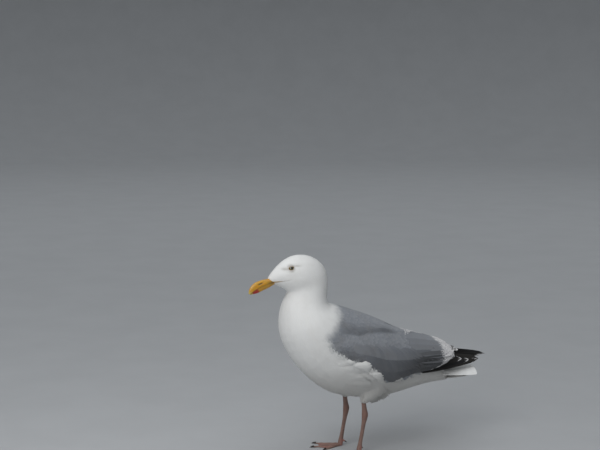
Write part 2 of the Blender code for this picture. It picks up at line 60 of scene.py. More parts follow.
# The body's slices, as in the solids: top y, z, low y, z, half width, egg. In millimetres.
BODY = np.array([
    (-167.0, 338.0, -153.0, 327.5, 8.0, 0.00),
    (-160.0, 347.5, -149.5, 325.5, 12.0, 0.05),
    (-149.5, 358.4, -144.0, 322.8, 17.5, 0.08),
    (-136.5, 368.6, -138.0, 319.3, 22.5, 0.10),
    (-121.0, 376.3, -133.0, 316.2, 26.5, 0.10),
    (-102.5, 378.8, -129.8, 314.0, 29.5, 0.08),
    (-83.0, 375.0, -128.2, 312.6, 31.5, 0.06),
    (-66.5, 365.5, -127.4, 311.4, 32.5, 0.04),
    (-55.5, 352.0, -127.0, 309.8, 33.0, 0.00),
    (-50.5, 336.5, -127.6, 307.0, 33.5, 0.00),
    (-50.0, 319.0, -130.0, 301.5, 35.5, 0.00),
    (-52.0, 303.5, -134.5, 292.5, 39.0, 0.00),
    (-53.0, 293.0, -138.8, 279.0, 45.0, 0.00),
    (-51.5, 288.0, -141.2, 260.5, 52.0, 0.00),
    (-48.5, 285.6, -140.6, 239.0, 59.0, 0.00),
    (-43.5, 284.0, -134.0, 215.0, 64.5, 0.00),
    (-35.0, 281.8, -120.5, 189.0, 68.5, 0.00),
    (-20.0, 277.0, -99.0, 159.5, 71.0, 0.00),
    (5.0, 268.0, -72.0, 134.0, 71.5, 0.00),
    (35.0, 256.5, -42.0, 115.0, 69.5, 0.00),
    (64.0, 243.2, -9.0, 105.0, 65.0, 0.00),
    (90.0, 229.5, 27.0, 100.0, 57.5, 0.00),
    (114.0, 207.0, 64.0, 99.0, 47.5, 0.00),
    (131.0, 181.0, 101.0, 104.5, 40.0, 0.00),
    (153.0, 163.0, 138.0, 112.0, 32.0, 0.00),
    (176.0, 150.0, 173.0, 116.0, 26.0, 0.00),
    (197.0, 140.0, 203.0, 117.0, 19.0, 0.00),
    (212.0, 131.0, 222.0, 119.5, 11.0, 0.00),
])
LAST_ROW = len(BODY) - 1
# The left wing's slices: y, top x, z, side x, z, low x, z.
WING = np.array([
    (-80.0, 59.5, 232.0, 64.5, 223.0, 66.0, 212.0),
    (-62.0, 62.5, 240.0, 70.5, 219.0, 70.0, 201.0),
    (-30.0, 62.0, 240.0, 74.5, 209.0, 73.0, 182.0),
    (10.0, 57.0, 238.0, 75.5, 199.0, 71.0, 160.0),
    (45.0, 46.0, 236.0, 72.0, 189.0, 60.0, 134.0),
    (85.0, 24.0, 230.5, 64.5, 184.0, 50.0, 139.0),
    (125.0, 5.0, 220.0, 56.0, 182.0, 43.5, 147.0),
    (165.0, 1.5, 206.0, 46.5, 179.0, 38.5, 151.0),
    (190.0, 2.0, 200.0, 38.5, 179.0, 34.0, 158.0),
    (208.0, 8.0, 189.0, 30.0, 180.0, 30.0, 168.0),
])
# The closed wing tips of each side: y, upper x, z, lower x, z.
TIPS = {
    1: np.array([
        (112.0, 32.0, 158.0, 38.0, 148.0),
        (150.0, 24.0, 168.0, 33.0, 148.5),
        (180.0, 18.0, 175.0, 29.5, 149.0),
        (208.0, 12.0, 178.0, 25.5, 150.0),
        (235.0, 8.0, 171.0, 20.0, 151.0),
        (258.0, 6.5, 163.5, 15.0, 152.0),
        (273.0, 7.5, 156.5, 11.0, 152.5),
    ]),
    -1: np.array([
        (112.0, 32.0, 159.0, 38.0, 149.0),
        (150.0, 24.0, 170.0, 33.0, 149.5),
        (180.0, 17.0, 178.0, 29.0, 150.5),
        (208.0, 10.0, 180.0, 24.0, 152.5),
        (240.0, 5.0, 174.0, 17.5, 154.0),
        (275.0, 2.5, 166.0, 10.5, 155.5),
        (297.0, 2.5, 159.0, 6.0, 156.5),
    ]),
}


# ---- numbers ----


def unit(a):
    return a / np.maximum(np.linalg.norm(a, axis=-1, keepdims=True), 1e-9)


def smoothstep(low, high, x):
    t = np.clip((np.asarray(x, float) - low) / (high - low), 0.0, 1.0)
    return t * t * (3 - 2 * t)


def hill(*offsets):
    """1 where every offset is 0, falling off like a bell."""
    return np.exp(-sum(offset**2 for offset in offsets))


def around(count):
    """Angles of a full turn in even steps."""
    return np.linspace(0, FULL_TURN, count, endpoint=False)


def grid(rows, columns):
    """Every pair of two lists of numbers, as two flat arrays."""
    a, b = np.meshgrid(rows, columns, indexing="ij")
    return a.ravel(), b.ravel()


def steps(count, first, each):
    """Pairs of numbers in even steps from the first pair."""
    return np.array(first, float) + np.arange(count)[:, None] * np.array(each, float)


def curve_rows(table, places):
    """Rows of a table at fractional places, joined by a Catmull-Rom curve."""
    places = np.clip(np.asarray(places, float), 0.0, len(table) - 1.0)
    i = np.minimum(places.astype(int), len(table) - 2)
    padded = np.vstack([2 * table[0] - table[1], table, 2 * table[-1] - table[-2]])
    a, b, before, after = padded[i + 1], padded[i + 2], padded[i], padded[i + 3]
    t = (places - i)[..., None]
    h = t * t * (3 - 2 * t)
    ease_a, ease_b = t - 2 * t**2 + t**3, t**3 - t**2
    return a + (b - a) * h + (b - before) / 2 * ease_a + (after - a) / 2 * ease_b


def rows_at(table, y):
    """Rows of a table at each y, its first column."""
    return curve_rows(table, np.interp(y, table[:, 0], np.arange(len(table))))


def noise3(p, scale, seed=0.0):
    """Smooth noise of about -1 to 1 at points p, whose lumps are about `scale` across."""
    q = np.asarray(p, float) / scale + seed
    x, y, z = q[..., 0], q[..., 1], q[..., 2]
    value = np.sin(x * 2.1 + 1.7 * np.sin(y * 1.3 + seed)) + np.sin(y * 2.3 + 1.9 * np.sin(z * 1.7))
    value += np.sin(z * 1.9 + 1.5 * np.sin(x * 1.6 + 2.0)) + 0.5 * np.sin((x + y + z) * 3.7 + seed * 3)
    return value / 3.5


def off_segment(y, z, a, b):
    """Distance of points y, z from the straight line between a and b."""
    way = b - a
    share = np.clip(((y - a[0]) * way[0] + (z - a[1]) * way[1]) / (way @ way), 0, 1)
    return np.hypot(y - a[0] - share * way[0], z - a[1] - share * way[1])


# ---- surfaces given by the tables ----


def body_point(u, v):
    """A point of the body: row u of its table, angle v from the top round the left side."""
    row = curve_rows(BODY, u)
    cy, cz = (row[..., 0] + row[..., 2]) / 2, (row[..., 1] + row[..., 3]) / 2
    c, s = np.cos(v), np.sin(v)
    x = row[..., 4] * s * (1 - row[..., 5] * c)
    return np.stack([x, cy + (row[..., 0] - cy) * c, cz + (row[..., 1] - cz) * c], -1)


def wing_point(y, t, side=1):
    """A point of a folded wing's outer face: y along it, t from its top, 0, to its low edge, 1."""
    row = rows_at(WING, y)
    t = np.asarray(t, float)[..., None]
    top, middle, low = row[..., 1:3], row[..., 3:5], row[..., 5:7]
    control = 2 * middle - (top + low) / 2
    xz = (1 - t) ** 2 * top + 2 * t * (1 - t) * control + t**2 * low
    return np.stack([side * xz[..., 0], np.broadcast_to(row[..., 0], xz[..., 0].shape), xz[..., 1]], -1)


def tip_surface(y, s, side=1):
    """A point of a closed wing tip's outer face: y along it, s from its upper edge, 0, to its lower, 1."""
    row = rows_at(TIPS[side], y)
    s = np.asarray(s, float)[..., None]
    xz = (1 - s) * row[..., 1:3] + s * row[..., 3:5]
    bulge = 1.6 * 4 * s[..., 0] * (1 - s[..., 0])
    return np.stack([side * (xz[..., 0] + bulge), np.broadcast_to(row[..., 0], bulge.shape), xz[..., 1]], -1)


def inner_tips(y, s, side=1):
    """A point of the roof of inner wing tips: s from the middle of the back, 0, to the outer tips, 1."""
    outer = tip_surface(y, 0 * s, side) * [side, 1, 1]
    roof = np.interp(y, [100, 165, 180, 208, 240], [200, 193, 188, 182, 172])
    middle = np.stack([1.5 + 0 * y, y + 0 * s, roof], -1)
    share = np.asarray(s, float)[..., None]
    arch = 1.2 * 4 * share[..., 0] * (1 - share[..., 0])
    point = middle * (1 - share) + outer * share
    return (point + np.stack([0 * arch, 0 * arch, arch], -1)) * [side, 1, 1]


TAIL_ROUNDING, TAIL_ARCH = 5.0, 9.0


def tail_surface(y, w, side=1):
    """A point of the tail's upper face: y along it, w from its middle, 0, to its outer edge, 1."""
    share = (y - TAIL_ROOT_Y) / (TAIL_END_Y - TAIL_ROOT_Y)
    return np.stack([side * w * (23 + 11 * share), y + 0 * w, 142 - 3 * share - TAIL_ARCH * w**2], -1)


def under_tail(y, w, side=1):
    """A point of the soft feathers' lower face below the tail's root, full in its middle."""
    row = np.interp(y, [138, 173, 203, 222], [24, 25, 26, 27])
    body = body_point(row, math.pi - np.clip(w, 0, 1) * 1.35)
    lengths = [200, 240, 256]
    drop = np.interp(y, lengths, [8.0, 3.5, 1.0]) + np.interp(y, lengths, [8.0, 4.5, 1.0]) * (1 - w**2)
    tail = tail_surface(y, w, 1) - np.stack([0 * drop, 0 * drop, drop], -1)
    share = smoothstep(150, 216, y)[..., None]
    mixed = body * (1 - share) + tail * share
    return mixed * np.array([side, 1, 1])


def normals_of(function, a, b, sign, **more):
    """Unit normals of a surface function of two numbers."""
    e = 0.02
    da = function(a + e, b, **more) - function(a - e, b, **more)
    db = function(a, b + e, **more) - function(a, b - e, **more)
    return unit(np.cross(da, db)) * sign


# ---- making meshes ----


def linked(name, data):
    """A new object in the scene."""
    made = bpy.data.objects.new(name, data)
    bpy.context.scene.collection.objects.link(made)
    return made


def edit(mesh, change):
    """Makes a change to a mesh through bmesh."""
    work = bmesh.new()
    work.from_mesh(mesh)
    change(work)
    work.to_mesh(mesh)
    work.free()


def face_outward(work):
    bmesh.ops.recalc_face_normals(work, faces=work.faces)


def read_array(items, name, width, kind=np.float32):
    flat = np.zeros(len(items) * width, kind)
    items.foreach_get(name, flat)
    return flat.reshape(-1, width)


def write_values(mesh, values):
    """Keeps named values at the points of a mesh, for its material to read."""
    for key, value in values.items():
        layer = mesh.attributes.new(key, "FLOAT", "POINT")
        layer.data.foreach_set("value", np.asarray(value, np.float32).ravel())


def piece(name, mesh, material):
    """An object of the bird, in its own material."""
    mesh.materials.append(material)
    made = linked(name, mesh)
    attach(made, "root")
    return made


def array_mesh(name, points, faces, material, values, normals=None, uvs=None):
    """A piece from points in millimetres and an array of equal-sided faces; uvs are per point."""
    mesh = bpy.data.meshes.new(name)
    mesh.vertices.add(len(points))
    mesh.vertices.foreach_set("co", (points * MM + SHIFT).astype(np.float32).ravel())
    mesh.loops.add(faces.size)
    mesh.loops.foreach_set("vertex_index", faces.astype(np.int32).ravel())
    mesh.polygons.add(len(faces))
    mesh.polygons.foreach_set("loop_start", np.arange(0, faces.size, faces.shape[1], dtype=np.int32))
    mesh.update(calc_edges=True)
    mesh.polygons.foreach_set("use_smooth", np.ones(len(faces), bool))
    write_values(mesh, values)
    if uvs is not None:
        layer = mesh.uv_layers.new(name="OFBake")
        layer.data.foreach_set("uv", uvs[faces.ravel()].astype(np.float32).ravel())
    if normals is not None:
        mesh.normals_split_custom_set_from_vertices(normals.tolist())
    return piece(name, mesh, material)


def ring_quads(count, across, closed=False):
    """Quads between rings of points, each joined to the next one and, if closed, the last to the first."""
    at = np.arange(count * across).reshape(count, across)
    ahead = np.roll(at, -1, 0)
    quads = np.stack([at, np.roll(at, -1, 1), np.roll(ahead, -1, 1), ahead], -1)
    return (quads if closed else quads[:-1]).reshape(-1, 4)


def ring_mesh(name, rings, material, values):
    """A closed piece from rings of points, (rings, points, 3), its ends closed by flat faces."""
    count, across = rings.shape[:2]
    ends = list(range(across))[::-1], list(range((count - 1) * across, count * across))
    mesh = bpy.data.meshes.new(name)
    faces = [*ring_quads(count, across).tolist(), *ends]
    mesh.from_pydata((rings.reshape(-1, 3) * MM + SHIFT).tolist(), [], faces)
    write_values(mesh, values)
    edit(mesh, face_outward)
    mesh.shade_smooth()
    return piece(name, mesh, material)


def tube_mesh(name, rings, material, values):
    """A closed band from rings where the last joins the first."""
    faces = ring_quads(*rings.shape[:2], closed=True)
    made = array_mesh(name, rings.reshape(-1, 3), faces, material, values)
    edit(made.data, face_outward)


# ---- the outer form that the coat lies in ----


def form_mesh(names, voxel, rounds, grow=0.35):
    """One smooth closed mesh round several solids: points and triangles, in millimetres."""

    def join(work):
        for name in names:
            work.from_mesh(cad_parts[name].data)
        bmesh.ops.remove_doubles(work, verts=work.verts, dist=1e-6)
        work.normal_update()
        for vertex in work.verts:
            vertex.co += vertex.normal * grow * MM

    mesh = bpy.data.meshes.new("form")
    edit(mesh, join)
    made = linked("form", mesh)
    skin = made.modifiers.new("one_skin", "REMESH")
    skin.mode, skin.voxel_size = "VOXEL", voxel * MM
    soft = made.modifiers.new("soften", "SMOOTH")
    soft.factor, soft.iterations = 0.5, rounds
    graph = bpy.context.evaluated_depsgraph_get()
    done = bpy.data.meshes.new_from_object(made.evaluated_get(graph))
    bpy.data.objects.remove(made)
    edit(done, keep_largest)
    points = read_array(done.vertices, "co", 3) / MM - SHIFT / MM
    return points, read_array(done.polygons, "vertices", 3, np.int32)


def keep_largest(work):
    """Leaves only the largest connected piece, in triangles."""
    left, best = set(work.verts), []
    while left:
        group = [left.pop()]
        for vertex in group:
            near = {edge.other_vert(vertex) for edge in vertex.link_edges} & left
            left -= near
            group += near
        best = max(best, group, key=len)
    kept = set(best)
    bmesh.ops.delete(work, geom=[v for v in work.verts if v not in kept], context="VERTS")
    bmesh.ops.triangulate(work, faces=work.faces)


def vertex_normals(points, triangles):
    a, b, c = (points[triangles[:, k]] for k in range(3))
    face = np.cross(b - a, c - a)
    found = np.zeros_like(points)
    for k in range(3):
        np.add.at(found, triangles[:, k], face)
    return unit(found)


def spread(values, triangles, rounds):
    """Smooths values kept at a mesh's points, over its edges."""
    edges = np.concatenate([triangles[:, [0, 1]], triangles[:, [1, 2]], triangles[:, [2, 0]]])
    count = np.zeros((len(values), 1))
    np.add.at(count, edges[:, 0], 1.0)
    np.add.at(count, edges[:, 1], 1.0)
    for _ in range(rounds):
        total = np.zeros_like(values)
        np.add.at(total, edges[:, 0], values[edges[:, 1]])
        np.add.at(total, edges[:, 1], values[edges[:, 0]])
        values = 0.5 * values + 0.5 * total / count
    return values


def close_sockets(points):
    """Carries the face smoothly across the bulge of each eye."""
    for side in (1, -1):
        look, back, up = eye_axes(side)
        q = points - eye_middle(side)
        x, y, z = q @ back, q @ up, q @ look
        rim = np.hypot(x, y)
        curve = np.stack([1 + 0 * x, x, y, x * x, x * y, y * y], -1)
        round_it = (rim > 7.8) & (rim < 12.0) & (z > -4)
        fit = np.linalg.lstsq(curve[round_it], z[round_it], rcond=None)[0]
        share = smoothstep(8.6, 7.0, rim) * (z > -4)
        points += look * ((curve @ fit - z) * share)[:, None]


def point_tree(points):
    tree = KDTree(len(points))
    for i, p in enumerate(points.tolist()):
        tree.insert(p, i)
    tree.balance()
    return tree


class Form:
    """The outer form, its smooth normals, the way the feathers lie and where each point is on the bird."""

    def __init__(self, names):
        self.points, self.triangles = form_mesh(names, 2.0, 6)
        close_sockets(self.points)
        raw = vertex_normals(self.points, self.triangles)
        self.points = self.points + raw * head_relief(self.points)[:, None]
        self.normals = spread(vertex_normals(self.points, self.triangles), self.triangles, 2)
        self.tree = BVHTree.FromPolygons(self.points.tolist(), self.triangles.tolist())
        self.read_lie()

    def read_lie(self):
        places, ways, marks = lie_samples()
        tree = point_tree(places)
        near = np.array([tree.find(p)[1] for p in self.points.tolist()])
        way = spread(ways[near], self.triangles, 5)
        way -= self.normals * np.sum(way * self.normals, -1, keepdims=True)
        self.way = unit(way)
        self.marks = spread(marks[near], self.triangles, 1)

    def snap(self, points):
        """Nearest points of the form: positions, smooth normals, lie, marks."""
        found = [self.tree.find_nearest(p) for p in points.tolist()]
        place = np.array([f[0] for f in found])
        corner = self.triangles[np.array([f[2] for f in found])]
        share = barycentric(place, *(self.points[corner[:, k]] for k in range(3)))
        return place, *(self.mix(kept, corner, share) for kept in (self.normals, self.way, self.marks))

    def level(self, points, way):
        """How far the outside of the form stands from each point along `way`."""
        hits = [self.tree.ray_cast(Vector(p + way * 30.0), Vector(-way)) for p in points]
        return np.array([30.0 - hit[3] if hit[0] else 0.0 for hit in hits])

    @staticmethod
    def mix(kept, corner, share):
        return sum(kept[corner[:, k]] * share[:, k : k + 1] for k in range(3))


def barycentric(p, a, b, c):
    n = np.cross(b - a, c - a)
    area = np.maximum(np.sum(n * n, -1), 1e-12)
    u = np.sum(np.cross(c - b, p - b) * n, -1) / area
    v = np.sum(np.cross(a - c, p - c) * n, -1) / area
    return np.clip(np.stack([u, v, 1 - u - v], -1), 0.0, 1.0)


# Soft relief of each side of the head: y, z, spread along, spread up, slope, height. In millimetres.
RELIEF = (
    (-127.0, 364.8, 8.5, 2.3, 0.10, 1.1),
    (-113.0, 361.2, 9.0, 1.3, 0.10, -0.7),
    (-142.5, 357.0, 6.0, 3.0, 0.25, -1.0),
    (-128.0, 349.5, 9.0, 3.5, 0.00, 0.6),
    (-110.0, 336.0, 13.0, 9.0, 0.00, 0.9),
    (-146.0, 345.0, 7.0, 4.0, 0.10, 0.5),
)
# The line that runs back from the corner of the bill: y, z.
GAPE = np.array([(-160.0, 332.0), (-150.0, 333.2), (-139.0, 335.4), (-127.5, 338.2)])


def gape_distance(p):
    """Distance from the gape's line, seen from the side."""
    return np.min([off_segment(p[:, 1], p[:, 2], a, b) for a, b in zip(GAPE[:-1], GAPE[1:])], 0)


def head_relief(p):
    """How far the head stands out of or sinks into its plain shape: brow, lores, cheek and gape."""
    height = np.zeros(len(p))
    for y, z, along, up, slope, rise in RELIEF:
        height += rise * hill((p[:, 1] - y) / along, (p[:, 2] - z - slope * (p[:, 1] - y)) / up)
    gape = -0.45 * hill(gape_distance(p) / 1.6) * smoothstep(-124, -134, p[:, 1])
    return (height + gape) * smoothstep(6, 14, np.abs(p[:, 0])) * smoothstep(-85, -100, p[:, 1])


def lie_samples():
    """Points all over the bird with the way the feathers lie there and marks: body row, angle, on the wing,
    on the thigh, how low on the wing."""
    u, v = grid(np.arange(0.0, LAST_ROW + 0.01, 0.12), np.linspace(0, FULL_TURN, 97)[:-1])
    places = [body_point(u, v)]
    ways = [unit(body_point(np.minimum(u + 0.15, LAST_ROW), v) - body_point(np.maximum(u - 0.15, 0), v))]
    marks = [np.stack([u, 1 - np.cos(v), 0 * u, 0 * u, 0 * u], -1)]
    y, t = grid(np.arange(-70.0, 208.0, 3.0), np.linspace(0.0, 1.0, 24))
    for side in (1, -1):
        along = unit(wing_point(y + 2, t, side) - wing_point(y - 2, t, side))
        down = unit(wing_point(y, t + 0.02, side) - wing_point(y, t - 0.02, side))
        places.append(wing_point(y, t, side))
        ways.append(unit(along + 0.24 * down))
        marks.append(np.stack([16 + 0 * y, 1 + 0 * y, 1 + 0 * y, 0 * y, t], -1))
    z, turn = grid(np.arange(94.0, 112.0, 2.0), around(12))
    size = np.interp(z, [95, 101, 108, 117], [6.1, 9.5, 15.5, 20.0])
    back = np.interp(z, [95, 101, 108, 117], [10.8, 15.5, 22.5, 27.5])
    for side, heel in HEELS.items():
        x, y = side * FOOT_X + size * np.cos(turn), heel + back + size * np.sin(turn)
        places.append(np.stack([x, y, z], -1))
        ways.append(np.tile(unit(np.array([0.0, -0.25, -1.0])), (len(z), 1)))
        marks.append(np.tile([22.0, 1.6, 0.0, 1.0, 0.0], (len(z), 1)))
    return np.concatenate(places), np.concatenate(ways), np.concatenate(marks)


# ---- markings ----

# The edge of the grey saddle and wings as seen from the side: (y, z), round it once.
GREY_EDGE = np.array([
    (-28.0, 300.0), (-33.0, 282.0), (-51.0, 262.0), (-61.0, 246.0), (-78.0, 232.0), (-73.0, 219.0),
    (-65.0, 208.0), (-46.0, 198.0), (-40.0, 189.0), (-18.0, 184.0), (2.0, 177.0), (11.0, 168.0),
    (30.0, 157.0), (38.0, 146.0), (50.0, 133.0), (64.0, 128.0), (90.0, 133.0), (125.0, 140.0),
    (165.0, 146.0), (215.0, 150.0), (235.0, 230.0), (60.0, 300.0),
])
EYE = np.array([0.0, -129.0, 358.5])


def painted_wing_shade(y, t):
    """Painted shade: how much darker the wing is painted toward its low edge, which faces down, and toward
    its end.
    """
    low = smoothstep(0.12, 0.9, np.asarray(t, float))
    end = smoothstep(60, 130, np.asarray(y, float)) * smoothstep(-0.05, 0.25, t)
    return 0.56 * low + 0.25 * end


def inside_edge(y, z):
    """Distance from the grey's edge in millimetres, positive inside it."""
    best = np.full(np.shape(y), 1e9)
    inside = np.zeros(np.shape(y), bool)
    for a, b in zip(GREY_EDGE, np.roll(GREY_EDGE, -1, axis=0)):
        best = np.minimum(best, off_segment(y, z, a, b))
        crosses = (a[1] > z) != (b[1] > z)
        way = b - a
        inside ^= crosses & (y < a[0] + (z - a[1]) * way[0] / (way[1] or 1e-9))
    return np.where(inside, best, -best)


def grey_at(p, marks):
    """How grey the plumage is at points p: 0 white, 1 grey."""
    distance = inside_edge(p[:, 1], p[:, 2]) + 3.0 * noise3(p, 9.0) + 2.0 * noise3(p, 3.5, 5.0)
    shoulder = smoothstep(205, 235, p[:, 2]) * smoothstep(-5, -25, p[:, 1])
    soft = 3.0 + 3.5 * smoothstep(20, -10, p[:, 1]) + 5.0 * shoulder
    grey = smoothstep(-soft, soft, distance)
    on_wing = smoothstep(0.3, 0.7, marks[:, 2])
    rump = smoothstep(21.6, 22.6, marks[:, 0]) * (1 - on_wing)
    under = smoothstep(1.25, 1.4, marks[:, 1]) * (1 - on_wing)
    return grey * (1 - rump) * (1 - under * smoothstep(-20, 10, p[:, 1]))


def dusk_and_shade_at(p):
    """Faint dusky marks round the eye together with painted shade: in the hollow of the lores before it, in
    the crease behind it and round it; and the thin dark line along the gape.
    """
    y, z = p[:, 1] - EYE[1], p[:, 2] - EYE[2]
    ahead = hill((y + 10.5) / 5.5, (z + 2.2) / 2.4)
    behind = hill((y - 11.0) / 6.5, (z - 3.4) / 1.5)
    below = hill((y + 1.0) / 5.0, (z + 6.6) / 2.0)
    ring = hill((np.hypot(y, z) / 6.4) ** 2)
    shade = np.clip(0.55 * ahead + 0.4 * behind + 0.25 * below + 0.6 * ring, 0, 0.65)
    line = 0.5 * hill(gape_distance(p)) * smoothstep(-126, -140, p[:, 1])
    return (np.abs(p[:, 0]) > 5) * np.maximum(shade, line)


# ---- materials ----


class Paint:
    """A material in the making.

    Its methods add nodes, whose inputs are numbers, colours or the outputs of other nodes.
    """

    def __init__(self, name):
        self.made = bpy.data.materials.new(name)
        self.made.use_nodes = True
        self.tree = self.made.node_tree
        self.shader = self.tree.nodes["Principled BSDF"]
        self.coordinates = self.node("ShaderNodeTexCoord").outputs

    def put(self, socket, value):
        if isinstance(value, bpy.types.NodeSocket):
            self.tree.links.new(value, socket)
        else:
            socket.default_value = (*value, 1.0) if socket.type == "RGBA" else value

    def node(self, kind, inputs=(), **settings):
        made = self.tree.nodes.new(kind)
        for name, value in settings.items():
            setattr(made, name, value)
        for place, value in dict(inputs).items():
            self.put(made.inputs[place], value)
        return made

    def noise(self, scale, detail=3.0, place=None):
        place = place or self.coordinates["Object"]
        inputs = {"Scale": scale, "Detail": detail, "Roughness": 0.6, "Vector": place}
        return self.node("ShaderNodeTexNoise", inputs).outputs["Fac"]

    def mark(self, name):
        """A value that the mesh keeps at its points."""
        return self.node("ShaderNodeAttribute", attribute_name=name).outputs["Fac"]

    def maths(self, operation, *values):
        return self.node("ShaderNodeMath", enumerate(values), operation=operation).outputs[0]

    def height(self, coordinate):
        return self.node("ShaderNodeSeparateXYZ", {0: self.coordinates[coordinate]}).outputs["Z"]

    def ramp(self, value, low, high, to_low=0.0, to_high=1.0):
        inputs = {"Value": value, "From Min": low, "From Max": high, "To Min": to_low, "To Max": to_high}
        return self.node("ShaderNodeMapRange", inputs, interpolation_type="SMOOTHSTEP").outputs["Result"]

    def blend(self, factor, a, b):
        return self.node("ShaderNodeMix", {0: factor, 6: a, 7: b}, data_type="RGBA").outputs[2]

    def finish(self, colour, roughness, relief=None, strength=0.0, deep=0.0, **gloss):
        """Sets the surface's colour, roughness and other values, with a fine relief `deep` metres deep."""
        self.put(self.shader.inputs["Base Color"], colour)
        self.shader.inputs["Roughness"].default_value = roughness
        for name, value in gloss.items():
            self.shader.inputs[name.replace("_", " ")].default_value = value
        if relief:
            bump = self.node("ShaderNodeBump", {"Strength": strength, "Distance": deep, "Height": relief})
            self.put(self.shader.inputs["Normal"], bump.outputs["Normal"])
        return self.made


WHITE, OFF_WHITE = (0.86, 0.86, 0.845), (0.76, 0.75, 0.72)
SHADED_WHITE = (0.54, 0.53, 0.505)  # the white darkened to paint the shade low under the body
GREY, WORN_GREY = (0.245, 0.262, 0.29), (0.24, 0.235, 0.23)
BLACK = (0.009, 0.0085, 0.009)
# the colour of the dusky marks and painted shade round the eye, and of the dark line along the gape
FACE_DUSK_AND_SHADE = (0.30, 0.27, 0.22)


def white_plumage(paint, patches):
    """White in soft patches, with painted shade low on the body wherever it doesn't face up, darkest under
    the belly and vent; the breast and upward faces stay white.
    """
    white = paint.blend(paint.ramp(patches, 0.42, 0.75, 0.0, 0.35), WHITE, OFF_WHITE)
    # painted shade: darker low on the body, fading where the surface faces up
    low = paint.ramp(paint.height("Object"), 0.105, 0.205, 0.9, 0.0)
    shade_below = paint.maths("MULTIPLY", low, paint.ramp(paint.height("Normal"), 0.2, 0.7, 1.0, 0.0))
    return paint.blend(shade_below, white, SHADED_WHITE)


def barb_waves(paint):
    """Fine ridges that slant from a feather's shaft to its edge, a barb's width apart."""
    slant = paint.maths("MULTIPLY_ADD", paint.mark("aside"), -1.1, paint.mark("reach"))
    wave = paint.maths("SINE", paint.maths("MULTIPLY", slant, FULL_TURN))
    return paint.maths("MULTIPLY", wave, 0.35)


def plumage_material():
    """One material for every feather: it reads each feather's own marks."""
    paint = Paint("plumage")
    along, dark, seed = (paint.mark(name) for name in ("along", "dark", "seed"))
    patches, fine = paint.noise(38.0, 4.0), paint.noise(420.0)
    stretch = {"Vector": paint.coordinates["Object"], "Scale": (1.0, 0.12, 1.0)}
    drawn = paint.node("ShaderNodeMapping", stretch)
    streaks = paint.noise(620.0, place=drawn.outputs[0])
    ash = paint.blend(paint.ramp(seed, 0.0, 1.0), GREY, (0.285, 0.30, 0.325))
    ash = paint.blend(paint.ramp(along, 0.72, 1.0, 0.0, 0.22), ash, (0.42, 0.43, 0.45))
    ash = paint.blend(paint.ramp(patches, 0.45, 0.8, 0.0, 0.4), ash, WORN_GREY)
    coal = paint.blend(paint.ramp(seed, 0.2, 1.0), BLACK, (0.019, 0.0165, 0.0145))
    colour = paint.blend(paint.mark("grey"), white_plumage(paint, patches), ash)
    # dark turns the colour black: the black feathers' own colour, and the painted shade of the wing and of
    # the step of the back
    colour = paint.blend(dark, colour, coal)
    ragged = paint.maths("ADD", along, paint.maths("MULTIPLY_ADD", streaks, 0.22, -0.11))
    beyond = paint.maths("SUBTRACT", ragged, paint.mark("tip"))
    crisp = paint.maths("MULTIPLY", beyond, paint.maths("MULTIPLY_ADD", dark, 2.0, 1.0))
    end = paint.blend(paint.ramp(streaks, 0.35, 0.65), (0.50, 0.49, 0.50), (0.76, 0.75, 0.74))
    colour = paint.blend(paint.ramp(crisp, -0.06, 0.07), colour, end)
    # dusky marks and painted shade round the eye, and the dark line along the gape
    colour = paint.blend(paint.mark("dusk_and_shade"), colour, FACE_DUSK_AND_SHADE)
    shaft = paint.ramp(paint.maths("ABSOLUTE", paint.mark("across")), 0.02, 0.07, 1.0, 0.0)
    colour = paint.blend(paint.maths("MULTIPLY", shaft, 0.12), colour, (0.25, 0.22, 0.18))
    relief = paint.maths("ADD", barb_waves(paint), fine)
    gloss = {"Sheen_Weight": 0.12, "Sheen_Roughness": 0.5, "Specular_IOR_Level": 0.3}
    return paint.finish(colour, 0.72, relief, strength=0.22, deep=0.0003, **gloss)


def skin_material():
    """The skin between the feathers, with the same white and grey."""
    paint = Paint("skin")
    patches = paint.noise(38.0, 4.0)
    ash = paint.blend(paint.ramp(patches, 0.45, 0.8, 0.0, 0.4), GREY, WORN_GREY)
    colour = paint.blend(paint.mark("grey"), white_plumage(paint, patches), ash)
    # dusky marks and painted shade round the eye, and the dark line along the gape
    colour = paint.blend(paint.mark("dusk_and_shade"), colour, FACE_DUSK_AND_SHADE)
    return paint.finish(colour, 0.85, paint.noise(600.0, 4.0), strength=0.5, deep=0.0006)


def bill_material():
    paint = Paint("bill_horn")
    patches, fine = paint.noise(150.0, 4.0), paint.noise(900.0)
    colour = paint.blend(paint.ramp(patches, 0.35, 0.7), (0.60, 0.27, 0.012), (0.58, 0.33, 0.03))
    colour = paint.blend(paint.mark("pale"), colour, (0.56, 0.44, 0.12))
    red = paint.maths("ADD", paint.mark("red"), paint.maths("MULTIPLY", patches, 0.5))
    colour = paint.blend(paint.ramp(red, 0.45, 1.15), colour, (0.42, 0.022, 0.012))
    colour = paint.blend(paint.maths("MULTIPLY", paint.mark("gape"), 0.75), colour, (0.10, 0.075, 0.02))
    colour = paint.blend(paint.maths("MULTIPLY", paint.mark("edge"), 0.45), colour, (0.16, 0.07, 0.015))
    # painted shade: near black in the nostril's hollow
    colour = paint.blend(paint.mark("hollow"), colour, (0.03, 0.015, 0.01))
    relief = paint.maths("ADD", patches, fine)
    gloss = {"Coat_Weight": 0.25, "Coat_Roughness": 0.25}
    return paint.finish(colour, 0.36, relief, strength=0.12, deep=0.0005, **gloss)


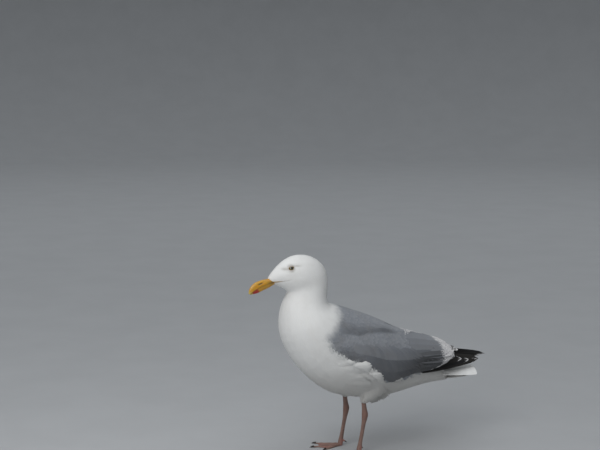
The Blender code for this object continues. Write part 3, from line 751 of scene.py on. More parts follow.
def eyeball_material():
    """The pupil, the iris in streaks and flecks, its pale colour darkened with painted shade from the brow,
    and the dark rim, by degrees `off` the eye's axis.
    """
    paint = Paint("eyeball")
    off = paint.mark("off")
    streaks = paint.ramp(paint.mark("streak"), 0.2, 0.9, 0.0, 0.5)
    # the iris's colours are dark to paint the shade that the brow casts on it
    iris = paint.blend(streaks, (0.20, 0.175, 0.07), (0.14, 0.115, 0.045))
    iris = paint.blend(paint.ramp(paint.noise(1400.0), 0.5, 0.7, 0.0, 0.5), iris, (0.16, 0.12, 0.05))
    iris = paint.blend(paint.ramp(off, 30, 38), iris, (0.03, 0.022, 0.01))
    colour = paint.blend(paint.ramp(off, 18.5, 20.5), (0.004, 0.004, 0.004), iris)
    return paint.finish(colour, 0.25, Coat_Weight=1.0, Coat_Roughness=0.02)


def lid_material():
    """The lids' dark rim, orange flesh and the white feathering beyond."""
    paint = Paint("eyelids")
    ring, fine = paint.mark("ring"), paint.noise(1200.0)
    flesh = paint.blend(paint.ramp(fine, 0.35, 0.7), (0.36, 0.15, 0.035), (0.46, 0.22, 0.05))
    colour = paint.blend(paint.ramp(ring, 0.1, 0.5), (0.02, 0.014, 0.01), flesh)
    colour = paint.blend(paint.ramp(ring, 0.75, 0.95), colour, (0.58, 0.56, 0.52))
    return paint.finish(colour, 0.5, fine, strength=0.5, deep=0.0003)


def leg_material():
    """Flesh pink, darker at the joint and between the scales, redder on the webs."""
    paint = Paint("leg_skin")
    patches = paint.noise(90.0, 4.0)
    scales = {"Scale": 620.0, "Vector": paint.coordinates["Object"]}
    gap = paint.node("ShaderNodeTexVoronoi", scales, feature="DISTANCE_TO_EDGE").outputs["Distance"]
    colour = paint.blend(paint.ramp(patches, 0.3, 0.7), (0.29, 0.18, 0.145), (0.22, 0.135, 0.11))
    colour = paint.blend(paint.maths("MULTIPLY", paint.mark("joint"), 0.55), colour, (0.22, 0.11, 0.085))
    colour = paint.blend(paint.maths("MULTIPLY", paint.mark("web"), 0.5), colour, (0.46, 0.18, 0.155))
    crack = paint.maths("MULTIPLY", paint.ramp(gap, 0.0, 0.09, 1.0, 0.0), 0.35)
    colour = paint.blend(crack, colour, (0.20, 0.11, 0.09))
    colour = paint.blend(paint.maths("MULTIPLY", paint.mark("groove"), 0.45), colour, (0.26, 0.13, 0.10))
    relief = paint.maths("ADD", gap, paint.maths("MULTIPLY", patches, 0.2))
    return paint.finish(colour, 0.48, relief, strength=0.5, deep=0.0004)


def claw_material():
    paint = Paint("claw_horn")
    streaks = paint.noise(700.0, 4.0)
    colour = paint.blend(paint.ramp(streaks, 0.35, 0.7), (0.018, 0.014, 0.012), (0.06, 0.04, 0.03))
    return paint.finish(colour, 0.3, streaks, strength=0.2, deep=0.0003)


def floor_material():
    paint = Paint("studio_floor")
    speck = paint.ramp(paint.noise(6.0, 4.0), 0.3, 0.7)
    return paint.finish(paint.blend(speck, (0.455, 0.465, 0.475), (0.475, 0.485, 0.495)), 0.9)


# ---- feathers ----


def vane_template(rows, columns):
    """Quads of one thin closed vane: its top grid, its underside and its rim."""

    def at(side, r, c):
        return side * (rows + 1) * (columns + 1) + r * (columns + 1) + c

    quads = []
    for r in range(rows):
        for c in range(columns):
            quads.append((at(0, r, c), at(0, r, c + 1), at(0, r + 1, c + 1), at(0, r + 1, c)))
            quads.append((at(1, r, c), at(1, r + 1, c), at(1, r + 1, c + 1), at(1, r, c + 1)))
    rim = [(0, c) for c in range(columns)] + [(r, columns) for r in range(rows)]
    rim += [(rows, c) for c in range(columns, 0, -1)] + [(r, 0) for r in range(rows, 0, -1)]
    for here, ahead in zip(rim, rim[1:] + rim[:1]):
        quads.append((at(0, *ahead), at(0, *here), at(1, *here), at(1, *ahead)))
    return np.array(quads)


def vane_width(t, root=0.5, widest=0.5, tip=0.45):
    """Share of a feather's full width at each place along it."""
    before = root + (1 - root) * np.sin(np.clip(t / widest, 0, 1) * math.pi / 2)
    after = tip + (1 - tip) * np.sqrt(np.clip(1 - ((t - widest) / (1 - widest)) ** 2, 0, 1))
    return np.where(t < widest, before, after)


NO_WHITE = 9.0  # a place beyond every feather's end


def marks_for(count, grey=0.0, dark=0.0, tip=NO_WHITE):
    """What each feather keeps for its material; its white end begins at `tip` of its length."""
    whole = {"grey": grey, "dark": dark, "tip": tip, "dusk_and_shade": 0.0}
    made = {key: np.zeros(count) + value for key, value in whole.items()}
    made["seed"] = RNG.random(count)
    return made


class Vanes:
    """A set of feathers laid along centre lines, gathered and then made into one object."""

    def __init__(self, name, slot, rows=4, columns=4, thick=0.22, soft=0.6, barb=0.9):
        self.name, self.slot, self.barb = name, slot, barb
        self.rows, self.columns, self.thick, self.soft = rows, columns, thick, soft
        self.t = np.linspace(0, 1, rows + 1)
        self.parts = []

    def add(self, centre, normal, half, marks, roots, patch=0.003, *, tip_round, cup, jag):
        """Adds feathers: centre lines and normals (feathers, rows + 1, 3), half widths (feathers, rows + 1)
        and marks. roots, patch: where they lie on the flat map, and their size there. tip_round: how far the
        tip's corners stand back. cup: how far the edges drop. jag: how ragged the tip is."""
        count, t, w = len(centre), self.t, np.linspace(-1, 1, self.columns + 1)
        tip_round, cup, jag = (np.zeros(count) + number for number in (tip_round, cup, jag))
        way = unit(np.gradient(centre, axis=1))
        across = unit(np.cross(way, normal))
        up = unit(np.cross(across, way))
        back = tip_round[:, None, None] * w**2 * smoothstep(0.3, 1.0, t)[:, None]
        ragged = jag[:, None] * RNG.uniform(-1.0, 1.0, (count, self.columns + 1))
        back[:, -1] += ragged
        if self.rows > 2:
            back[:, -2] += 0.35 * ragged
        drop = cup[:, None, None] * w**2 * np.ones((self.rows + 1, 1))
        top = centre[:, :, None] + across[:, :, None] * (half[:, :, None] * w)[..., None]
        top = top - up[:, :, None] * drop[..., None] - way[:, :, None] * back[..., None]
        tilt = 2 * cup[:, None, None] * w / np.maximum(half, 0.1)[:, :, None]
        lean = across[:, :, None] * tilt[..., None]
        stiff = 1 - self.soft
        shade = unit(up[:, :, None] * stiff + normal[:, :, None] * self.soft + lean * stiff)
        taper = (1 - 0.75 * np.abs(w) ** 3) * (1 - 0.55 * t**3)[:, None]
        under = top - up[:, :, None] * (self.thick * taper)[..., None]
        shape = (count, 2, self.rows + 1, self.columns + 1)
        long = np.linalg.norm(np.diff(centre, axis=1), axis=-1).sum(1)
        values = {"along": np.broadcast_to(t[:, None], shape), "across": np.broadcast_to(w, shape)}
        values["reach"] = values["along"] * long[:, None, None, None] / self.barb
        values["aside"] = np.abs(values["across"]) * half[:, None, :, None] / self.barb
        for key, value in marks.items():
            value = value[:, None, None, None] if value.ndim == 1 else value[:, None, :, None]
            values[key] = np.broadcast_to(value, shape)
        cell = np.stack([values["across"] * 0.5, values["along"] - 0.5], -1)
        arrays = {key: value.ravel() for key, value in values.items()}
        arrays["points"] = np.stack([top, under], 1).reshape(-1, 3)
        arrays["normals"] = np.stack([shade, -shade], 1).reshape(-1, 3)
        arrays["uvs"] = (roots[:, None, None, None] + cell * patch).reshape(-1, 2)
        self.parts.append(arrays)

    def make(self, material):
        values = {key: np.concatenate([part[key] for part in self.parts]) for key in self.parts[0]}
        points, normals, uvs = (values.pop(key) for key in ("points", "normals", "uvs"))
        starts = np.arange(0, len(points), 2 * (self.rows + 1) * (self.columns + 1))
        faces = (starts[:, None, None] + vane_template(self.rows, self.columns)).reshape(-1, 4)
        return array_mesh(self.name, points, faces, material, values, normals, uvs)


# ---- small feathers scattered over the form ----


TRIES = 5.0  # random points tried for each one wanted, so that no gap stays open
CLOSEST = 0.82  # share of the spacing that two kept points must be apart


def scatter(form, spacing, allowed):
    """Points all over the form at about the spacing asked for at each place, never much closer."""
    a, b, c = (form.points[form.triangles[:, k]] for k in range(3))
    area = np.linalg.norm(np.cross(b - a, c - a), axis=1) / 2
    corner_gap = spacing[form.triangles].mean(1)
    want = area * allowed[form.triangles].min(1) / corner_gap**2 * TRIES
    which = np.repeat(np.arange(len(area)), np.floor(want + RNG.random(len(want))).astype(int))
    r1, r2 = np.sqrt(RNG.random(len(which))), RNG.random(len(which))
    share = np.stack([1 - r1, r1 * (1 - r2), r1 * r2], -1)
    order = RNG.permutation(len(which))
    which, share = which[order], share[order]
    corner = form.triangles[which]
    place = form.mix(form.points, corner, share)
    gap = corner_gap[which]
    tree = point_tree(place)
    free = np.ones(len(place), bool)
    kept = []
    for i, p in enumerate(place.tolist()):
        if free[i]:
            kept.append(i)
            free[[near[1] for near in tree.find_range(p, gap[i] * CLOSEST)]] = False
    corner, share = corner[kept], share[kept]
    found = (form.mix(items, corner, share) for items in (form.normals, form.way, form.marks))
    return place[kept], *found, gap[kept]


def follow(form, start, way, length, rows, obey=0.25):
    """Centre lines of the given lengths over the form, the form's normals along them and marks at the roots.
    obey: how much the lie of the plumage turns them."""
    place, normal, _, marks = form.snap(start)
    centre, normals = [place], [unit(normal)]
    for _ in range(rows):
        step = unit(way - normals[-1] * np.sum(way * normals[-1], -1, keepdims=True))
        place, normal, lie, _ = form.snap(centre[-1] + step * (length / rows)[:, None])
        way = unit(step * (1 - obey) + lie * obey)
        centre.append(place)
        normals.append(unit(normal))
    return np.stack(centre, 1), np.stack(normals, 1), marks


def skin_uv(place, marks):
    """Where a point lies on a flat unwrap of the body: round it and along it."""
    turn = np.arccos(np.clip(1 - marks[:, 1], -1, 1)) / math.pi
    wide = 0.96 + 0.02 * np.clip(marks[:, 1] / 2, 0, 1)
    return np.stack([0.5 + 0.5 * np.sign(place[:, 0]) * turn * wide, (marks[:, 0] + 0.35) / 28], -1)


def body_sizes(form):
    """Feather length at every point of the form."""
    rows = [0, 1, 3, 5, 8, 10, 12, 14, 17, 20, 27]
    length = np.interp(form.marks[:, 0], rows, [2.0, 2.7, 4, 5, 6.5, 8, 10, 12, 15, 18, 20])
    eye = np.min([np.linalg.norm(form.points - EYE - [side * 22, 0, 0], axis=1) for side in (1, -1)], 0)
    length = np.minimum(length, np.interp(eye, [5, 10, 22, 23], [1.8, 2.6, 5.0, 50.0]))
    wing = smoothstep(0.3, 0.7, form.marks[:, 2])
    on_wing = np.interp(form.points[:, 1], [-70, -20, 40], [11, 15, 20])
    thigh = smoothstep(0.3, 0.7, form.marks[:, 3])
    return (length * (1 - wing) + on_wing * wing) * (1 - thigh) + 11 * thigh


def bare_places(form, mantle):
    """Where no small feather grows because larger ones take over; 1 elsewhere."""
    p, on_wing, low = form.points, form.marks[:, 2] > 0.6, form.marks[:, 4]
    first_covert = np.interp(low, [0.66, 0.76], [15, 30])
    bare = on_wing & (p[:, 1] > first_covert) & (low > 0.30)
    bare |= on_wing & (p[:, 1] > 84)
    bare |= mantle.covers(p)
    bare |= (p[:, 1] > 140) & (p[:, 2] > 142)
    bare |= p[:, 1] > 180
    return 1.0 - bare


def strip_tall(y):
    """Half height of the bare strip that runs back from the bill along the gape."""
    return np.interp(y, [-160.0, -152.0, -144.0], [1.2, 0.8, 0.1])


def on_horn(p):
    """Whether points lie over an eye, its lids or the strip along the gape."""
    wide, tall = EYE_OPENING
    y = p[..., 1]
    near = gape_distance(p.reshape(-1, 3)).reshape(y.shape)
    found = (near < strip_tall(y) + 0.15) & (y < -144) & (np.abs(p[..., 0]) > 4)
    for side in (1, -1):
        look, back, up = eye_axes(side)
        q = p - eye_middle(side)
        x, y = (q @ back) / (wide + 0.5), (q @ up) / (tall + 0.45)
        y = np.where(y > 0, y / 0.86, y)
        found |= (q @ look > 0) & (np.hypot(x, y) < 1)
    return found


SPACING, LEAST_GAP = 0.27, 0.25  # gap between roots: a share of the feather's length, and the least


def body_coat(form, mantle, material):
    """Every small feather of the head, neck, body and the front of the wings."""
    length = body_sizes(form)
    place, normal, way, marks, gap = scatter(form, length * SPACING + LEAST_GAP, bare_places(form, mantle))
    size = (gap - LEAST_GAP) / SPACING * RNG.uniform(0.88, 1.14, len(gap))
    turn = (0.10 * noise3(place, 24.0, 2.0) + RNG.normal(0, 0.07, len(size)))[:, None]
    way = unit(way + np.cross(normal, way) * turn)
    ends = place[:, None] + way[:, None] * (size[:, None] * np.array([0.0, 0.5, 1.0]))[..., None]
    kept = ~on_horn(ends).any(1)
    place, way, marks, size = (item[kept] for item in (place, way, marks, size))
    row = marks[:, 0]
    upper = (row >= 14) & ((marks[:, 1] < 0.75) | (marks[:, 2] > 0.5))
    lower = (row >= 14) & ~upper
    tracts = (  # name, where, colour, rows, columns, thickness, soft shading, half width by length
        ("face", row < 3.4, "white", 2, 2, 0.05, 0.88, 0.34),
        ("crown", (row >= 3.4) & (row < 6), "white", 2, 2, 0.05, 0.90, 0.34),
        ("nape", (row >= 6) & (row < 10), "white", 3, 2, 0.06, 0.91, 0.33),
        ("neck", (row >= 10) & (row < 14), "white", 3, 4, 0.08, 0.92, 0.31),
        ("back", upper, "grey", 4, 4, 0.10, 0.88, 0.29),
        ("breast", lower & (row < 18), "white", 4, 4, 0.08, 0.93, 0.28),
        ("belly", lower & (row >= 18), "white", 4, 4, 0.08, 0.93, 0.28),
    )
    for name, chosen, colour, rows, columns, thick, soft, slim in tracts:
        small = rows < 4
        vanes = Vanes(f"coat_{name}", f"{colour}_plumage", rows, columns, thick, soft, 0.3 if small else 0.55)
        at, long, own = place[chosen], size[chosen], marks[chosen]
        centre, normals, _ = follow(form, at, way[chosen], long, rows)
        t = vanes.t
        deep = ((0.03 if small else 0.045) * long + 0.1)[:, None] * (1 - t) ** 1.3
        fluff = 0.35 + 0.35 * noise3(at, 16.0, 7.0) + RNG.normal(0, 0.12, len(at))
        lift = -deep + (0.006 * long * (1 + fluff))[:, None] * t**2
        lift += (RNG.random(len(at)) * 0.08)[:, None]
        centre = centre + normals * lift[..., None]
        flat = centre.reshape(-1, 3)
        tract = marks_for(len(at))
        tract["grey"] = grey_at(flat, np.repeat(own, rows + 1, 0)).reshape(-1, rows + 1)
        tract["dusk_and_shade"] = dusk_and_shade_at(flat).reshape(-1, rows + 1)
        # painted shade, darker toward the wing's low edge and end
        tract["dark"] = (painted_wing_shade(at[:, 1], own[:, 4]) * (own[:, 2] > 0.5))[:, None] * tract["grey"]
        half = (slim * long)[:, None] * vane_width(t, 0.5, 0.55, 0.4)
        tip_shape = {"tip_round": 0.07 * long, "cup": 0.012 * long + 0.02, "jag": 0.03 * long}
        vanes.add(centre, normals, half, tract, skin_uv(at, own), **tip_shape)
        vanes.make(material)


# ---- the skin ----


def make_skin(form, material):
    """The skin under the feathers, drawn in where the wings' and the tail's own feathers lie."""
    depth = np.interp(form.marks[:, 0], [0, 3, 10, 16, 27], [0.3, 0.35, 0.8, 1.3, 1.5])
    depth = np.where(form.marks[:, 2] > 0.5, 1.3, depth)
    depth = depth + 2.2 * smoothstep(70, 95, form.points[:, 1]) * smoothstep(0.7, 0.95, form.marks[:, 4])
    points = form.points - form.normals * depth[:, None]
    above_tail = points[:, 2] > 148
    for part, end, squeeze in ((above_tail, 172, 0.3), (~above_tail, 192, 0.35)):
        beyond = part & (points[:, 1] > end)
        points[beyond, 1] = end + (points[beyond, 1] - end) * squeeze
    values = {"grey": grey_at(form.points, form.marks), "dusk_and_shade": dusk_and_shade_at(form.points)}
    made = array_mesh("skin", points, form.triangles, material, values)
    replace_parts(made, "head", "neck", "trunk", "thigh_left", "thigh_right", "wing_left", "wing_right")


# ---- feathers laid one by one ----


def feather_lines(surface, roots, tips, rows, side, low, high):
    """Centre lines from roots to tips, both on a surface, that rise off it from `low` to `high`."""
    t = np.linspace(0, 1, rows + 1)
    a = roots[:, 0, None] + (tips[:, 0] - roots[:, 0])[:, None] * t
    b = roots[:, 1, None] + (tips[:, 1] - roots[:, 1])[:, None] * t
    normal = normals_of(surface, a, b, -side, side=side)
    rise = np.asarray(low, float)[..., None] * (1 - t) ** 1.5 + np.asarray(high, float)[..., None] * t**0.8
    return surface(a, b, side=side) + normal * rise[..., None], normal


ISLAND_STEP = (1.15, 1.1)  # from one island to the next, as shares of its size


def island(first, count, across=6, size=(0.12, 0.3)):
    """Middles and size of the feathers' own islands on the flat map, from a first corner."""
    row, column = np.divmod(np.arange(count), across)
    middle = np.stack([column + 0.5, row + 0.5], -1) * np.array(size) * ISLAND_STEP + first
    return middle, np.array(size)


def white_ends(white, roots, tips):
    """Where the white end begins, as a share of each feather's length."""
    return 1 - white / (tips[:, 0] - roots[:, 0])


WING_ROUND, BACK_ROUND = 55.0, 80.0  # radii of the curve across a large feather, on the wing and on the back


def wing_set(vanes, side, roots, tips, half, low, high, marks, map_row, corner=6.0, jag=0.35, dip=0.0):
    """One layer of a folded wing's feathers. corner: how far their corners stand back; dip: how far the ends
    bend down."""
    centre, normal = feather_lines(wing_point, roots, tips, vanes.rows, side, low, high)
    t = vanes.t
    centre = centre - normal * (dip * smoothstep(0.6, 1.0, t) * t)[None, :, None]
    # painted shade, darker toward the wing's low edge and end
    marks["dark"] = painted_wing_shade(centre[..., 1], roots[:, 1:] + (tips[:, 1:] - roots[:, 1:]) * t)
    wide = np.full((len(roots), 1), half) * vane_width(t, 0.5, 0.55, 0.62)
    islands = island((0.02 if side > 0 else 0.52, 0.02 + map_row), len(roots), 8, (0.05, 0.1))
    cup = half**2 / (2 * WING_ROUND)
    vanes.add(centre, normal, wide, marks, *islands, tip_round=corner, cup=cup, jag=jag)


# The longest inner feathers of the wing: root y, t, tip y, t, length of the white end; lowest first.
TERTIALS = np.array([
    (86, 0.86, 178, 0.94, 22), (88, 0.76, 192, 0.86, 26), (87, 0.66, 201, 0.73, 29),
    (86, 0.55, 206, 0.59, 32), (85, 0.44, 209, 0.45, 34), (84, 0.33, 209, 0.31, 33),
    (82, 0.22, 206, 0.18, 28), (80, 0.11, 198, 0.06, 25),
])
# The coverts' layers: count, first root (y, t) and step, first tip and step, half width, rise, map row.
COVERTS = (
    (13, (-24, 0.42), (10.0, 0.004), (26, 0.76), (10.2, 0.003), 9.0, 0.6, 0.22),
    (14, (-42, 0.27), (9.5, 0.0), (-4, 0.53), (9.7, 0.002), 8.5, 0.8, 0.44),
)


ROOT_LOW = -0.6  # how far a layer's roots lie below the wing's face


def wing_feathers(material):
    """The large feathers of each folded wing, from the lowest layer to the highest."""
    for side, word in SIDES:
        vanes = Vanes(f"wing_feathers_{word}", "grey_plumage", rows=12, columns=8, thick=0.18, soft=0.85)
        k = np.arange(7)
        for layer in range(3):
            tips = np.stack([186 + 9 * np.sin(0.3 + 0.42 * k) - 9.0 * layer, 0.08 + 0.13 * k], -1)
            deep = -11.0 + 3.5 * layer
            marks = marks_for(7, grey=1, tip=0.88)
            wing_set(vanes, side, tips - [86.0, 0.0], tips, 10.5, deep, deep, marks, map_row=0.88)
        k = np.arange(11)
        tips = np.stack([66 + 11.4 * k, 0.955 - 0.008 * np.maximum(k - 6, 0)], -1)
        marks = marks_for(11, grey=1, tip=np.where(k > 6, 0.86, NO_WHITE))
        roots, rise = steps(11, (12, 0.60), (10.0, 0)), 0.3 + 0.04 * (11 - k)
        wing_set(vanes, side, roots, tips, 9.5, ROOT_LOW, rise, marks, map_row=0)
        for count, root, root_step, tip, tip_step, half, rise, map_row in COVERTS:
            roots, tips = steps(count, root, root_step), steps(count, tip, tip_step)
            wing_set(vanes, side, roots, tips, half, ROOT_LOW, rise, marks_for(count, grey=1), map_row)
        roots, tips = TERTIALS[:, :2], TERTIALS[:, 2:4]
        marks = marks_for(len(TERTIALS), grey=1, tip=white_ends(TERTIALS[:, 4], roots, tips))
        high = 1.0 + 0.25 * np.arange(len(TERTIALS))
        wing_set(vanes, side, roots, tips, 11.5, -0.8, high, marks, 0.66, corner=7.0, jag=1.6, dip=4.0)
        vanes.make(material)


# The long outer feathers: root y, s, tip y, s, half width, length of the white end; the lowest layer first.
PRIMARIES = {
    1: np.array([
        (104, 0.50, 275, 0.66, 11.0, 4.0), (98, 0.98, 266, 0.93, 7.6, 3.5), (100, 0.80, 245, 0.78, 8.5, 4.5),
        (102, 0.55, 228, 0.66, 9.5, 4.5), (104, 0.35, 213, 0.45, 10.0, 5.0),
    ]),
    -1: np.array([
        (104, 0.50, 298, 0.45, 11.0, 9.0), (98, 0.98, 286, 0.85, 7.6, 6.5), (100, 0.62, 273, 0.30, 8.5, 9.5),
        (102, 0.50, 253, 0.32, 9.5, 8.0), (104, 0.35, 232, 0.30, 10.0, 6.5),
    ]),
}
INNER_ROOTS, INNER_TIPS = steps(4, (108.0, 0.85), (0.0, -0.22)), steps(4, (226.0, 0.85), (-6.5, -0.22))
INNER_HALF, INNER_WHITE = 8.0, 6.0


def primaries(material):
    """The black feathers with white ends of each closed wing tip; the innermost and shortest lies on top."""
    for side, word in SIDES:
        vanes = Vanes(f"primaries_{word}_vanes", "black_plumage", rows=14, columns=8, thick=0.45, soft=0.5)
        table = PRIMARIES[side]
        # Surface, roots, tips, half widths, white ends, rise, step of the rise, tip width, cup, row.
        layers = (
            (tip_surface, table[:, :2], table[:, 2:4], table[:, 4], table[:, 5], -0.4, 0.35, 0.36, 0.5, 0.05),
            (inner_tips, INNER_ROOTS, INNER_TIPS, INNER_HALF, INNER_WHITE, 0.2, 0.4, 0.5, 0.3, 0.5),
        )
        for surface, roots, tips, half, white, rise, step, end, cup, map_row in layers:
            high = rise + step * np.arange(len(roots))
            centre, normal = feather_lines(surface, roots, tips, vanes.rows, side, high, high)
            wide = (np.zeros(len(roots)) + half)[:, None] * vane_width(vanes.t, 0.5, 0.35, end)
            marks = marks_for(len(roots), dark=1, tip=white_ends(white, roots, tips))
            islands = island((0.05, map_row), len(roots))
            vanes.add(centre, normal, wide, marks, *islands, tip_round=5.0, cup=cup, jag=0.5)
        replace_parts(vanes.make(material), f"primaries_{word}")


def tail_feathers(material):
    """Twelve white tail feathers, the middle pair on top."""
    vanes = Vanes("tail_vanes", "white_plumage", rows=10, columns=8, thick=0.4, soft=0.5)
    k = np.arange(6)
    w = (k + 0.35) / 6.1
    for side in (1, -1):
        roots = np.stack([168.0 + 0 * k, w * 0.9], -1)
        tips = np.stack([TAIL_END_Y - 0.4 - (TAIL_ROUNDING + 1) * w**2, w], -1)
        low, high = -0.3 * k, -0.12 - 0.34 * k
        centre, normal = feather_lines(tail_surface, roots, tips, vanes.rows, side, low, high)
        wide = np.full((6, 1), 7.2) * vane_width(vanes.t, 0.7, 0.5, 0.75)
        islands = island((0.02, 0.05 if side > 0 else 0.5), 6)
        vanes.add(centre, normal, wide, marks_for(6), *islands, tip_round=3.0, cup=0.7, jag=0.25)
    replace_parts(vanes.make(material), "tail")


def tail_coverts(material):
    """Long soft feathers from the rump over and under the root of the tail."""
    vanes = Vanes("coat_tail_coverts", "white_plumage", rows=6, columns=4, thick=0.25, soft=0.8)
    # Over and under: surface, way out of it, count, first and last y, range of first y, least length.
    layers = ((tail_surface, 1, 50, 172, 214, 14, 0.55), (under_tail, -1, 190, 150, 243, 46, 0.70))
    for side in (1, -1):
        for level, (surface, out, count, first, last, more, least) in enumerate(layers):
            w = RNG.uniform(0, 0.92, count)
            y = RNG.uniform(first - 12, first + more, count)
            long = (last - y) * RNG.uniform(least, 1.0, count) - 6 * w
            roots, tips = np.stack([y, w * 0.8], -1), np.stack([y + long, w], -1)
            loose = RNG.uniform(0, 1.2, (1 + level, count))[-1]
            centre, normal = feather_lines(surface, roots, tips, vanes.rows, side, 0.4, out * (0.3 + loose))
            wide = np.full((count, 1), 3.8) * vane_width(vanes.t, tip=0.4)
            spot = np.tile([24.0, 0.2 + 1.6 * level], (count, 1))
            uvs = skin_uv(centre[:, 0], spot)
            vanes.add(centre, normal * out, wide, marks_for(count), uvs, tip_round=2.5, cup=0.3, jag=0.5)
    vanes.make(material)


# ---- tufts that follow the form ----


# Soft white swellings over the wing's low edge: middle of the round rear end y, z, length before it and
# behind it, half height, slope, height.
LOBES = np.array([
    (-33.0, 184.0, 26.0, 7.0, 7.5, 0.10, 1.5),
    (-5.0, 174.0, 50.0, 14.0, 12.5, 0.06, 3.0),
    (22.0, 152.5, 58.0, 15.5, 11.5, -0.06, 3.3),
    (14.0, 138.0, 50.0, 18.0, 11.0, -0.12, 2.6),
    (-30.0, 160.0, 40.0, 40.0, 20.0, -0.30, 1.6),
])
FLANK_SPOT = np.array([(78.0, 137.0, 14.0, 8.0, 6.5, 0.25, 2.0)])
LOBE_MARGIN = np.array([0.0, 6.0])


def swelling(lobes, p):
    """Height of the joined lobes at points p, and how much lies inside them."""
    height, inside = np.zeros(p.shape[:-1]), np.zeros(p.shape[:-1])
    for y, z, before, behind, tall, slope, rise in lobes:
        a = (p[..., 1] - y) / np.where(p[..., 1] < y, before, behind)
        b = (p[..., 2] - z - slope * (p[..., 1] - y)) / (tall * (1 - 0.3 * np.clip(-a, 0, 1)))
        share = np.clip(1 - a**2 - b**2, 0, 1)
        height = np.maximum(height, rise * share**0.8)
        inside = np.maximum(inside, share)
    return height, inside


def flank_lobes(form, material):
    """White breast and flank feathers that swell over the folded wing's lower edge."""
    for side, word in SIDES:
        name = f"coat_flank_{word}"
        vanes = Vanes(name, "white_plumage", rows=5, columns=4, thick=0.12, soft=0.92, barb=0.55)
        for lobes, count, length in ((LOBES, 1900, 16.0), (FLANK_SPOT, 90, 10.0)):
            low = (lobes[:, :2] - lobes[:, [2, 4]]).min(0) - LOBE_MARGIN
            high = (lobes[:, :2] + lobes[:, [3, 4]]).max(0) + LOBE_MARGIN
            y, z = (RNG.uniform(0, 1, (count, 2)) * (high - low) + low).T
            tip = form.snap(np.stack([side * np.interp(y, [20, 80], [76, 54]), y, z], -1))[0]
            tip = tip[swelling(lobes, tip)[1] > 0.0]
            way = unit(np.tile([0.0, 1.0, 0.10], (len(tip), 1)) + RNG.normal(0, 0.10, (len(tip), 3)))
            long = length * RNG.uniform(0.75, 1.15, len(tip))
            lobe_feathers(vanes, form, tip - way * long[:, None], way, long, lobes)
        vanes.make(material)


def lobe_feathers(vanes, form, start, way, long, lobes):
    """Feathers laid over the lobes' swelling, which falls softly to its rim."""
    centre, normals, root_marks = follow(form, start, way, long, vanes.rows, 0.05)
    here = swelling(lobes, centre)[0]
    reach = np.array([0.0, 2.0, 0.0]), np.array([0.0, 0.0, 2.0])
    slopes = [(swelling(lobes, centre + r)[0] - swelling(lobes, centre - r)[0]) / 4.0 for r in reach]
    t = vanes.t
    height = here + 0.2 * t**2 + RNG.uniform(-0.1, 0.35, len(start))[:, None] - 1.2 * (1 - t) ** 2
    lean = -np.stack([0 * here, slopes[0], slopes[1]], -1)
    wide = 0.15 * long[:, None] * vane_width(t, 0.55, 0.5, 0.3)
    centre = centre + normals * height[..., None]
    uvs = skin_uv(centre[:, 0], root_marks)
    marks = marks_for(len(start))
    tip_shape = {"tip_round": 0.08 * long, "cup": 0.012 * long, "jag": 0.04 * long}
    vanes.add(centre, unit(normals + lean), wide, marks, uvs, **tip_shape)


def tufts(vanes, form, start, way, length, half, low, high, marks, obey, free=0.0):
    """Feathers from `start`, heading along `way` over the form, rising from `low` to `high` above it.
    free: how much they go straight on where the form turns away."""
    centre, normals, root_marks = follow(form, start, way, length, vanes.rows, obey)
    t = vanes.t
    rise = low * (1 - t) ** 1.4 + (np.zeros(len(start)) + high)[:, None] * t**1.2
    centre = centre + normals * rise[..., None]
    straight = centre[:, :1] + unit(way)[:, None] * (length[:, None] * t)[..., None]
    loose = (free * smoothstep(0.2, 1.0, t))[:, None]
    centre = centre * (1 - loose) + straight * loose
    wide = np.full((len(start), 1), half) * vane_width(t)
    cup = 0.01 * length + half**2 / (2 * WING_ROUND)
    uvs = skin_uv(centre[:, 0], root_marks)
    vanes.add(centre, normals, wide, marks, uvs, tip_round=0.1 * length, cup=cup, jag=0.03 * length)


def fan(centre, way, up, count, across, back, spread_out):
    """Roots and ways of a bunch of feathers round a middle root: `across` wide, `back` long."""
    way = unit(np.array(way, float))
    side = unit(np.cross(way, np.array(up, float)))
    place = RNG.uniform(-1, 1, (count, 2))
    roots = np.array(centre) + side * (place[:, :1] * across) + way * (place[:, 1:] * back)
    return roots, unit(way + side * (place[:, :1] * spread_out + RNG.normal(0, 0.06, (count, 1))))


def thigh_bunches(form, material):
    """Loose white feathers that hang over the top of each leg."""
    vanes = Vanes("coat_thigh", "white_plumage", rows=5, columns=4, thick=0.16, soft=0.9, barb=0.55)
    loose, ring = 150, 22
    for side, heel in HEELS.items():
        middle, down, out = (side * 33, heel + 30, 119), (0, 0.55, -0.83), (side, 0, 0)
        roots, ways = fan(middle, down, out, loose, across=14, back=12, spread_out=0.16)
        long, high = RNG.uniform(13, 22, loose), RNG.uniform(0.5, 2.6, loose)
        tufts(vanes, form, roots, ways, long, 2.8, -0.5, high, marks_for(loose), obey=0.05, free=0.55)
        turn = around(ring)
        x, y = side * FOOT_X + 9 * np.cos(turn), heel + 15 + 10 * np.sin(turn)
        down = np.tile([0.0, -0.2, -1.0], (ring, 1))
        long = RNG.uniform(8, 12, ring)
        start = np.stack([x, y, 104 + 0 * turn], -1)
        tufts(vanes, form, start, down, long, 2.6, -0.2, 0.5, marks_for(ring), obey=0.0)
    vanes.make(material)


# ---- the back ----


# Where the long feathers of the back end over the wing: y, and how low on the wing.
STEP_Y = [-52, -44, -30, -11, 1, 29, 59, 90, 112, 130]
STEP_T = [0.03, 0.06, 0.10, 0.13, 0.085, 0.07, 0.085, 0.095, 0.05, 0.01]
MANTLE_END = 150.0
WHITE_FROM, SCAPULAR_WHITE = 108, 7.5  # tips beyond this y have white ends, and how long those are
